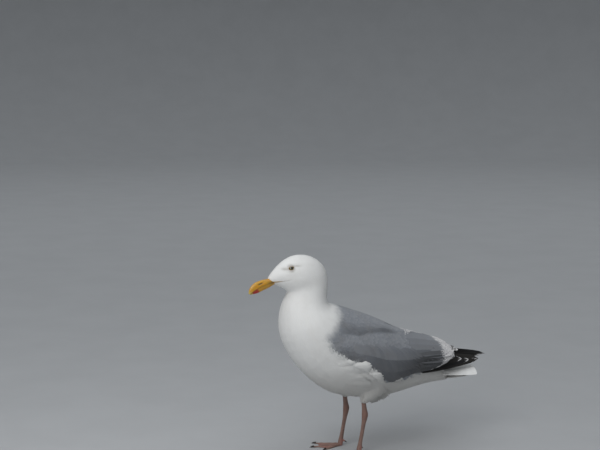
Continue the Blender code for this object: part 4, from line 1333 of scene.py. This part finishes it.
# Of the last rows, the lowest first: how high their ends stand, how far they roll under, and how much shade
# is painted on the ends that roll under.
STEP_HIGH, STEP_LEAN, STEP_SHADE = (2.5, 1.8, 1.0, 0.5), (0.75, 0.5, 0.25, 0.0), (0.26, 0.18, 0.08, 0.0)


class Mantle:
    """The smooth roof of the back and wings round an axis in the body: y along it, angle from the top."""

    CELL_Y, CELL_DEGREES, FAR = 4.0, 3.0, 160.0

    def __init__(self, form):
        self.y = np.arange(-76.0, 172.1, self.CELL_Y)
        self.angle = np.radians(np.arange(0.0, 109.0, self.CELL_DEGREES))
        found = np.array([[self.reach(form, y, a) for a in self.angle] for y in self.y])
        whole = np.concatenate([found[:, :0:-1], found], 1)
        for _ in range(4):
            whole = self.bridge(whole)
        for _ in range(2):
            padded = np.pad(whole, 1, mode="edge")
            beside = padded[:-2, 1:-1] + padded[2:, 1:-1] + padded[1:-1, :-2] + padded[1:-1, 2:]
            whole = beside / 8 + whole / 2
        free = smoothstep(-50, -22, self.y)[:, None]
        self.radius = whole[:, len(self.angle) - 1 :] * free + found * (1 - free)

    @staticmethod
    def axis(y):
        return np.interp(y, [-60, 40, 150], [236, 205, 172])

    def reach(self, form, y, angle):
        """How far the form's outside is from the axis."""
        way = Vector((math.sin(angle), 0.0, math.cos(angle)))
        middle = Vector((0.0, y, self.axis(y)))
        hit = form.tree.ray_cast(middle + way * self.FAR, -way)
        return self.FAR - hit[3] if hit[0] else 4.0

    def bridge(self, radius):
        """Lifts every hollow between two higher places to the straight line between them."""
        for k in range(1, 14):
            a, b = radius[:, : -2 * k], radius[:, 2 * k :]
            chord = 2 * a * b * math.cos(math.radians(self.CELL_DEGREES * k)) / np.maximum(a + b, 1e-6)
            radius[:, k:-k] = np.maximum(radius[:, k:-k], chord)
        return radius

    def point(self, y, angle, side=1):
        """Points of the roof; side -1 mirrors them."""
        y, angle = np.broadcast_arrays(np.asarray(y, float), np.asarray(angle, float))
        row = np.clip((y - self.y[0]) / self.CELL_Y, 0, len(self.y) - 1.001)
        column = np.clip(np.abs(angle) / math.radians(self.CELL_DEGREES), 0, len(self.angle) - 1.001)
        i, j = row.astype(int), column.astype(int)
        u, v = row - i, column - j
        r = self.radius
        here, beyond = (r[k, j] * (1 - v) + r[k, j + 1] * v for k in (i, i + 1))
        near = here * (1 - u) + beyond * u
        return np.stack([side * near * np.sin(angle), y, self.axis(y) + near * np.cos(angle)], -1)

    def normal(self, y, angle, side=1):
        dy = self.point(y + 3.0, angle, side) - self.point(y - 3.0, angle, side)
        turn = self.point(y, angle + 0.07, side) - self.point(y, angle - 0.07, side)
        return unit(np.cross(dy, turn)) * -side

    def step(self, y):
        """The angle at which the long feathers of the back end over the wing."""
        edge = wing_point(y, np.interp(y, STEP_Y, STEP_T))
        return np.arctan2(edge[..., 0], edge[..., 2] - self.axis(y))

    def covers(self, p):
        """Whether points lie under the long feathers of the back."""
        angle = np.arctan2(np.abs(p[:, 0]), p[:, 2] - self.axis(p[:, 1]))
        return (p[:, 1] > -26) & (p[:, 1] < MANTLE_END) & (angle < self.step(p[:, 1]) - 0.10)


def back_marks(centre, tip_y, long):
    """Marks of long feathers of the back: grey as the saddle's edge says, the hindmost with white ends."""
    marks = marks_for(len(centre), tip=np.where(tip_y > WHITE_FROM, 1 - SCAPULAR_WHITE / long, NO_WHITE))
    spot = np.tile([16.0, 0.3, 1.0, 0.0, 0.0], (centre[..., 0].size, 1))
    marks["grey"] = grey_at(centre.reshape(-1, 3), spot).reshape(centre.shape[:-1])
    return marks


def back_uv(turn, y):
    """Where feathers of the back lie on the flat map: angles from the top, and y of their roots."""
    return np.stack([0.5 + 0.5 * turn / math.pi, (13.5 + (y + 60) / 22) / 28], -1)


def scapulars(mantle, material):
    """Long grey feathers whose ends make a step over the wing; the hindmost have white ends."""
    vanes = Vanes("coat_scapulars", "grey_plumage", rows=8, columns=6, thick=0.14, soft=0.85)
    t = vanes.t
    for row, side in ((row, side) for row in range(14) for side in (1, -1)):
        last = min(row, len(STEP_HIGH) - 1)
        tip_y = np.arange(-34.0 if row > 4 else -42.0, MANTLE_END, 7.5) + 3.7 * (row % 2)
        tip_y = tip_y + RNG.normal(0, 0.9, len(tip_y))
        far = 3.6 + 7.0 * row + RNG.normal(0, 0.5, len(tip_y))
        long = np.interp(tip_y, [-45, 0, 60, 150], [17, 25, 35, 42]) * RNG.uniform(0.92, 1.08, len(tip_y))
        long = np.minimum(long, tip_y + np.interp(far, [0, 40, 60], [62, 54, 46]))
        y = tip_y[:, None] - long[:, None] * (1 - t)
        reach = np.interp(y, mantle.y, mantle.radius[:, 8])
        angle = mantle.step(y) - far[:, None] / reach
        aside = angle[:, -1] * reach[:, -1]
        kept = aside > -1.5
        if not kept.any():
            continue
        y, angle, long, tip_y, aside = (item[kept] for item in (y, angle, long, tip_y, aside))
        normal = mantle.normal(y, angle, side)
        strong = np.interp(tip_y, [-46, -20, 55, 88], [0.35, 1.0, 1.0, 0.1])
        high = STEP_HIGH[last] * strong + RNG.uniform(0, 0.2, len(y))
        rise = high[:, None] * t**1.4 - 0.5 * (1 - t) ** 1.3
        centre = mantle.point(y, angle, side) + normal * rise[..., None]
        marks = back_marks(centre, tip_y, long)
        bend = strong[:, None] * t**2
        # painted shade on the ends that roll under the step
        marks["dark"] = STEP_SHADE[last] * bend
        lean = unit(normal - np.array([0.0, 0.0, 1.0]) * (STEP_LEAN[last] * bend)[..., None])
        half = np.interp(long, [17, 42], [4.6, 7.6]) * np.interp(aside, [-2, 12], [0.5, 1.0])
        wide = half[:, None] * vane_width(t)
        cup = 0.3 + wide.max(1) ** 2 / (2 * BACK_ROUND)
        uvs = back_uv(side * np.abs(angle[:, 0]), y[:, 0])
        vanes.add(centre, lean, wide, marks, uvs, tip_round=0.12 * long, cup=cup, jag=0.012 * long)
    ridge_feathers(vanes, mantle)
    vanes.make(material)


RIDGE_LONG, RIDGE_HALF = 34.0, 6.5


def ridge_feathers(vanes, mantle):
    """The feathers along the middle of the back, which close the seam between its two sides."""
    t = vanes.t
    tip_y = np.arange(20.0, MANTLE_END + 1, 6.5) + RNG.normal(0, 0.8, 21)
    y = tip_y[:, None] - RIDGE_LONG * (1 - t)
    normal = mantle.normal(y, 0 * y)
    turn = RIDGE_HALF / np.interp(tip_y, mantle.y, mantle.radius[:, 0])
    fall = mantle.point(tip_y, 0 * tip_y)[:, 2] - mantle.point(tip_y, turn)[:, 2]
    centre = mantle.point(y, 0 * y) + normal * (0.25 - 0.6 * (1 - t) + 0.4 * t)[:, None]
    wide = np.full((len(y), 1), RIDGE_HALF) * vane_width(t, tip=0.4)
    marks = back_marks(centre, tip_y, RIDGE_LONG)
    uvs, cup = back_uv(0 * tip_y, y[:, 0]), np.clip(fall, 0.5, 4.0)
    vanes.add(centre, normal, wide, marks, uvs, tip_round=4.0, cup=cup, jag=0.4)


# ---- bill ----


# Rows along the bill: ridge y, z, closing line y, z, lower edge y, z, half widths of its two halves.
BILL = np.array([
    (-167.6, 337.8, -160.4, 332.2, -153.9, 327.3, 8.0, 7.4),
    (-175.0, 336.9, -168.0, 330.2, -161.5, 323.2, 7.1, 6.4),
    (-183.0, 335.2, -176.5, 327.4, -170.5, 319.2, 6.3, 5.5),
    (-191.2, 332.4, -185.0, 323.8, -180.0, 315.6, 5.5, 4.7),
    (-198.4, 327.2, -192.6, 319.6, -187.5, 312.6, 4.6, 3.6),
    (-203.2, 319.8, -198.4, 315.2, -195.0, 311.6, 3.2, 2.2),
    (-204.4, 312.6, -202.0, 311.6, -200.0, 310.8, 1.5, 0.9),
])
NOSTRIL, NOSTRIL_LONG, NOSTRIL_TALL, NOSTRIL_DEEP = (2.35, 0.50), 0.52, 0.085, 1.1
GROOVE, GROOVE_LONG, GROOVE_TALL, GROOVE_DEEP = (1.9, 0.62), 1.1, 0.12, 0.35


def bill_half(upper, material):
    """One half of the bill, whose rings run over its outside and back along the closing line.

    Places are rows of the table, and heights are shares of the way out from the closing line.
    """
    place = np.linspace(-0.55, 6.0, 110)[:, None]
    rows = curve_rows(BILL, np.maximum(place[:, 0], 0)) + np.minimum(place, 0) * (BILL[1] - BILL[0])
    turn = np.linspace(0, math.pi, 41)
    closing = rows[:, None, 2:4]
    far, half = (rows[:, None, :2], rows[:, 6:7]) if upper else (rows[:, None, 4:6], rows[:, 7:8])
    rise = np.sin(turn) ** 1.06
    x = half * np.sign(np.cos(turn)) * np.abs(np.cos(turn)) ** 1.04
    start = closing - (far - closing) * (0.05 if upper else -0.03)
    yz = start + (far - start) * rise[:, None]
    hollow = 0 * x
    if upper:
        hollow = hill(((place - NOSTRIL[0]) / NOSTRIL_LONG) ** 2, (rise - NOSTRIL[1]) / NOSTRIL_TALL)
        groove = hill(((place - GROOVE[0]) / GROOVE_LONG) ** 2, (rise - GROOVE[1]) / GROOVE_TALL)
        x = x - np.sign(x) * np.minimum(NOSTRIL_DEEP * hollow + GROOVE_DEEP * groove, 0.35 * np.abs(x))
    outer = np.concatenate([x[..., None], yz], -1)
    inner_x = np.linspace(-0.9, 0.9, 7) * half
    inner = np.concatenate([inner_x[..., None], np.broadcast_to(start, (*inner_x.shape, 2))], -1)
    height = np.concatenate([rise + 0 * x, 0 * inner_x], 1)
    u = place + 0 * height
    if upper:
        red = 0.55 * hill((u - 4.3) / 0.55, height / 0.22)
    else:
        red = smoothstep(3.0, 3.75, u) * (1 - smoothstep(4.75, 5.35, u)) * (0.75 + 0.25 * height)
    values = {
        "red": red,
        "pale": smoothstep(4.6, 5.8, u),
        "gape": smoothstep(1.6, 0.0, u) * hill(height / 0.5),
        "hollow": np.concatenate([hollow, 0 * inner_x], 1),
        "edge": hill(height / 0.07),
    }
    word = "upper" if upper else "lower"
    made = ring_mesh(f"bill_{word}_horn", np.concatenate([outer, inner], 1), material, values)
    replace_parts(made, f"bill_{word}")


def gape_corner(side, word, form, material):
    """The narrow strip of bill flesh that runs back from the bill's base along the gape."""
    share = np.linspace(0, 1, 44)
    y = -167.0 + 23.0 * share
    z = np.interp(y, GAPE[:, 0], GAPE[:, 1]) + 0.2
    normal = form.snap(np.stack([side * (24 + 0 * y), y, z], -1))[1]
    x = side * form.level(np.stack([0 * y, y, z], -1), np.array([side, 0.0, 0.0]))
    for _ in range(6):
        x[1:-1] = (x[:-2] + x[2:]) / 4 + x[1:-1] / 2
        normal[1:-1] = (normal[:-2] + normal[2:]) / 4 + normal[1:-1] / 2
    start = smoothstep(-163.5, -159.5, y)[:, None]
    inner = np.stack([side * 3.6 + 0 * y, y, z - 0.4], -1)
    place = inner * (1 - start) + np.stack([x, y, z], -1) * start
    up = unit(np.cross(unit(np.gradient(place, axis=0)), normal)) * -side
    turn = around(20)
    tall = strip_tall(y)[:, None]
    deep = np.interp(share, [0, 0.3, 0.7, 1], [0.5, 0.5, 0.4, 0.15])[:, None]
    rings = place[:, None] + up[:, None] * (np.sin(turn) * tall)[..., None]
    fold = 1 - 0.6 * hill(np.sin(turn) / 0.28)
    rings = rings + normal[:, None] * (np.cos(turn) * fold * deep)[..., None]
    line = hill(np.sin(turn) / 0.3) + 0 * tall
    zero = 0 * line
    dusk = 0.1 + 0.7 * share[:, None] + zero
    values = {"red": zero, "pale": 0.2 + zero, "gape": dusk, "hollow": zero, "edge": 1.6 * line}
    ring_mesh(f"gape_{word}_horn", rings, material, values)


# ---- eyes ----


EYE_RADIUS = 7.2
EYE_LOOK = np.array([0.91, -0.26, 0.32])
EYE_OPENING = (4.5, 3.4)  # half width and half height of the gap between the lids
EYE_SUNK = 1.0  # how much deeper the eyeball sits than its plain solid, so that the lids lie in the face
HIDDEN_BALL = 1.8  # how much the ball draws in behind the lids
# Across one lid: distance out from the opening, height over the eyeball, and 0 rim, 0.5 flesh or 1 feathered.
LID_PROFILE = np.array([
    (-0.02, 0.16, 0.0), (0.08, 0.34, 0.25), (0.24, 0.38, 0.5), (0.42, 0.28, 0.7), (0.6, 0.12, 0.9),
    (0.9, -0.1, 1.0), (1.4, -0.5, 1.0), (2.2, -1.2, 1.0),
])


def eye_axes(side):
    """Where an eye looks, toward the back of its opening, and up across it."""
    look = unit(EYE_LOOK * [side, 1, 1])
    slant = np.array([0.0, 1.0, 0.12])
    back = unit(slant - look * (slant @ look))
    return look, back, np.cross(look, back) * side


def eye_middle(side):
    low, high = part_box("eye_left" if side > 0 else "eye_right")
    plain = (np.array(low) + np.array(high)) / 2 / MM - SHIFT / MM
    return plain - eye_axes(side)[0] * EYE_SUNK


def opening(turn, out=0.0):
    """How far from the eye's middle the edge of the gap between the lids lies, `out` beyond it."""
    wide, tall = EYE_OPENING
    low = 1 - 0.24 * np.clip(np.sin(turn), 0, 1) * max(0.0, 1 - out / 3)
    return 1 / np.hypot(np.cos(turn) / (wide + out), np.sin(turn) / ((tall + out) * low))


def eyeball(side, word, material):
    look, back, up = eye_axes(side)
    degrees = np.concatenate([np.linspace(0.8, 60, 50), np.linspace(64, 120, 10)])[:, None]
    angle, turn = np.radians(degrees), around(64)
    cornea = 0.3 * hill(degrees / 26) - 0.1
    beyond = EYE_RADIUS * np.sin(np.minimum(angle, 1.57)) - opening(turn)
    radius = EYE_RADIUS + cornea - HIDDEN_BALL * smoothstep(0.1, 1.2, beyond)
    ring = np.cos(turn)[:, None] * back + np.sin(turn)[:, None] * up
    ball = eye_middle(side) + ring * (radius * np.sin(angle))[..., None]
    ball = ball + look * (radius * np.cos(angle))[..., None]
    streak = 0.5 + 0.5 * np.sin(turn * 37 + 3 * np.sin(turn * 11))
    values = {"off": degrees + 0 * turn, "streak": streak + 0 * degrees}
    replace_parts(ring_mesh(f"eyeball_{word}", ball, material, values), f"eye_{word}")


def eyelids(side, word, form, material):
    """A soft rim round the eye's opening, which runs out into the face."""
    look, back, up = eye_axes(side)
    turn = around(64)
    lids = []
    for out, high, _ in LID_PROFILE:
        rim = opening(turn, out)
        x, y = rim * np.cos(turn), rim * np.sin(turn)
        level = np.sqrt(np.maximum(EYE_RADIUS**2 - rim**2, 0.0)) + high
        ring = eye_middle(side) + back * x[:, None] + up * y[:, None]
        head = form.level(ring, look) - np.interp(out, [0.4, 0.9, 2.2], [0.1, 0.6, 1.0])
        level += (head - level) * smoothstep(0.42, 0.9, out)
        lids.append(ring + look * level[:, None])
    lids += [lids[-1] - look * 2.0, lids[0] - look * 1.2]
    part = np.append(LID_PROFILE[:, 2], [1.0, 0.0])[:, None] + 0 * turn
    tube_mesh(f"eyelids_{word}", np.array(lids), material, {"ring": part})


# ---- legs and feet ----


# The front toes: angle from straight ahead, start, length, half width.
TOES = {"inner": (-29.0, -1.6, 41.0, 4.0), "middle": (1.0, -3.4, 53.0, 4.3), "outer": (29.0, -2.5, 48.0, 4.1)}
CLAW_LONG, CLAW_RADIUS = 8.0, 1.7
HIND_HIGH, HIND_LONG, HIND_CLAW_LONG, HIND_CLAW_RADIUS = 11.5, 7.0, 4.0, 1.2
PLATE, TOE_PLATE = 3.3, 2.3  # lengths of the plates down the shank and along the toes


def turned(angle, a, b):
    """The pair a, b in a frame turned by an angle in degrees."""
    way = math.radians(angle)
    return a * math.cos(way) + b * math.sin(way), b * math.cos(way) - a * math.sin(way)


def foot_point(side, ahead, out, z):
    """A point of the working frame that lies ahead of the heel and out from the foot's own line."""
    forward, sideways = turned(-TOE_OUT, ahead, out)
    return np.array([side * (FOOT_X + sideways), HEELS[side] - forward, z])


def ridge(x):
    """Overlapping plates: each rises slowly and drops sharply."""
    f = x - np.floor(x)
    return np.where(f < 0.82, (f / 0.82) ** 0.7, (1 - f) / 0.18)


def leg_skin(side, word, material):
    """One skin over leg and foot, with plates down the shank and along the toes, and wrinkled webs."""
    p, triangles = form_mesh([f"leg_{word}", f"foot_{word}"], 0.62, 3, grow=0.1)
    n = spread(vertex_normals(p, triangles), triangles, 2)
    ahead, out = turned(TOE_OUT, HEELS[side] - p[:, 1], side * p[:, 0] - FOOT_X)
    shank = smoothstep(11, 17, p[:, 2])
    front = shank * smoothstep(0.1, 0.6, -n[:, 1])
    plates = ridge(-p[:, 2] / PLATE + 0.1 * np.sin(p[:, 0]))
    on_toe, along_toe = np.zeros(len(p)), np.zeros(len(p))
    for angle, start, _, half in TOES.values():
        along, across = turned(angle, ahead, out)
        near = hill((across / half) ** 2) * smoothstep(start + 2, start + 6, along)
        along_toe = np.where(near > on_toe, along, along_toe)
        on_toe = np.maximum(near, on_toe)
    foot, top = 1 - shank, smoothstep(0.2, 0.7, n[:, 2])
    toe_plates = ridge(along_toe / TOE_PLATE)
    web = foot * (1 - smoothstep(0.25, 0.7, on_toe))
    move = 0.30 * front * (plates - 0.5) + 0.26 * foot * top * on_toe * (toe_plates - 0.5)
    move += 0.10 * web * np.sin(1.5 * ahead + 1.2 * np.sin(out * 0.8)) * top
    p = p + n * move[:, None]
    p[:, 2] = np.maximum(p[:, 2], 0.0)
    groove = np.maximum(front * (plates < 0.25), foot * top * on_toe * (toe_plates < 0.25))
    values = {"joint": hill((p[:, 2] - 72) / 9.0), "web": web, "groove": groove}
    made = array_mesh(f"leg_skin_{word}", p, triangles, material, values)
    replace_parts(made, f"leg_{word}", f"foot_{word}")


def claw_rings(start, way, drop, long, radius):
    """Rings of a claw that curves down by `drop` and narrows to its point."""
    way = unit(np.array(way, float))
    across = unit(np.cross(way, [0.0, 0.0, 1.0]))
    turn = around(20)[:, None]
    round_it = across * 0.78 * np.sin(turn) + np.cross(across, way) * np.cos(turn)
    share = np.linspace(-0.12, 1.0, 18)[:, None, None]
    grown = np.maximum(share, 0)
    size = radius * (1 - grown**1.5) ** 0.85 + 0.16
    return start + way * long * share - np.array([0.0, 0.0, drop]) * grown**2 + size * round_it


def claws(side, word, material):
    """The claws of three front toes and the small raised hind toe."""
    high = CLAW_RADIUS + 0.5
    rings = {}
    for name, (angle, _, length, _) in TOES.items():
        start, end = (foot_point(side, *turned(-angle, far, 0.0), high) for far in (length, length + 10))
        rings[name] = claw_rings(start, end - start, high - 0.6, CLAW_LONG, CLAW_RADIUS)
    way = unit(np.array([-side * 0.35, 0.85, -0.42]))
    start = np.array([side * (FOOT_X - 1.0), HEELS[side] + 2.5, HIND_HIGH]) + way * HIND_LONG
    rings["hind"] = claw_rings(start, way, 0.9, HIND_CLAW_LONG, HIND_CLAW_RADIUS)
    for name, claw in rings.items():
        made = ring_mesh(f"claw_{name}_{word}_horn", claw, material, {})
        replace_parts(made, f"claw_{name}_{word}")


# ---- stage ----


def make_stage():
    """A round floor that bends up into a wall, out of reach of the shadow."""
    bend = np.linspace(0, math.pi / 2, 24)
    profile = [(r, 0.0) for r in (0.5, 1.5, 3.0, 5.0)]
    profile += [(7.0 + 2.0 * math.sin(a), 2.0 - 2.0 * math.cos(a)) for a in bend] + [(9.0, 7.0)]
    turns, sunk = around(96), 0.0002
    points = [(0.0, 0.0, -sunk)]
    points += [(r * math.cos(t), r * math.sin(t), z - sunk) for r, z in profile for t in turns]
    faces = [(0, 1 + i, 1 + (i + 1) % len(turns)) for i in range(len(turns))]
    faces += [tuple(quad[[0, 3, 2, 1]]) for quad in 1 + ring_quads(len(profile), len(turns))]
    mesh = bpy.data.meshes.new("studio_floor")
    mesh.from_pydata(points, [], faces)
    mesh.shade_smooth()
    mesh.materials.append(floor_material())
    return linked("studio_floor", mesh)


LENS, SENSOR = 80.0, 36.0
AZIMUTH = 65.0  # where the camera stands round the bird
CAMERA_FAR = 2.53333  # metres from the bird's feet, along the view
# Slopes of lines from the camera: the view's fall from level, and the feet's way right of it and below it.
VIEW_FALL, FEET_RIGHT, FEET_DOWN = 0.12525, 0.0375, 0.16785


def make_camera():
    """A camera on the bird's left, seen from a little ahead and above, with the bird right of the middle."""
    pitch, azimuth = math.atan(VIEW_FALL), math.radians(AZIMUTH)
    level = Vector((-math.sin(azimuth), math.cos(azimuth), 0.0))
    level.rotate(Matrix.Rotation(math.atan(FEET_RIGHT), 3, "Z"))
    ahead = Vector((level.x * math.cos(pitch), level.y * math.cos(pitch), -math.sin(pitch)))
    right = ahead.cross(Vector((0, 0, 1))).normalized()
    up = right.cross(ahead)
    data = bpy.data.cameras.new("camera")
    data.lens, data.sensor_width, data.clip_end = LENS, SENSOR, 50.0
    camera = linked("camera", data)
    place = Vector(SHIFT) - (ahead + right * FEET_RIGHT - up * FEET_DOWN) * CAMERA_FAR
    camera.matrix_world = Matrix.Translation(place) @ Matrix((right, up, -ahead)).transposed().to_4x4()
    bpy.context.scene.camera = camera
    return level, right


def area_light(name, place, size, power):
    data = bpy.data.lights.new(name, "AREA")
    data.shape, data.size, data.energy = "DISK", size, power
    made = linked(name, data)
    made.location = place
    made.rotation_euler = (Vector((0.0, -0.05, 0.22)) - place).to_track_quat("-Z", "Y").to_euler()


def make_lights(level, right):
    """A soft key from high on the camera's left, a weak fill from its right and a wide pale sky."""
    area_light("key", Vector((0, 0, 1.2)) - level * 1.3 - right * 0.75, 1.3, 14)
    area_light("fill", Vector((0, 0, 0.9)) - level * 1.8 + right * 1.2, 2.0, 1.2)
    sky = bpy.data.lights.new("sky", "SUN")
    sky.energy, sky.angle, sky.color = 1.22, math.radians(80), (0.94, 0.97, 1.0)
    linked("sky", sky)
    world = bpy.data.worlds.new("studio")
    world.use_nodes = True
    background = world.node_tree.nodes["Background"].inputs
    background["Color"].default_value, background["Strength"].default_value = (0.86, 0.9, 0.95, 1), 0.13
    bpy.context.scene.world = world


# ---- putting it together ----

make_stage()
make_lights(*make_camera())
form = Form([
    "head", "eye_left", "eye_right", "neck", "trunk",
    "thigh_left", "thigh_right", "wing_left", "wing_right",
])
make_skin(form, skin_material())
plumage = plumage_material()
mantle = Mantle(form)
body_coat(form, mantle, plumage)
scapulars(mantle, plumage)
flank_lobes(form, plumage)
thigh_bunches(form, plumage)
tail_coverts(plumage)
wing_feathers(plumage)
primaries(plumage)
tail_feathers(plumage)
horn, ball, lids, legs, nails = (
    bill_material(), eyeball_material(), lid_material(), leg_material(), claw_material(),
)
for upper in (True, False):
    bill_half(upper, horn)
for side, word in SIDES:
    gape_corner(side, word, form, horn)
    eyeball(side, word, ball)
    eyelids(side, word, form, lids)
    leg_skin(side, word, legs)
    claws(side, word, nails)
bpy.context.scene.view_settings.view_transform = "Standard"
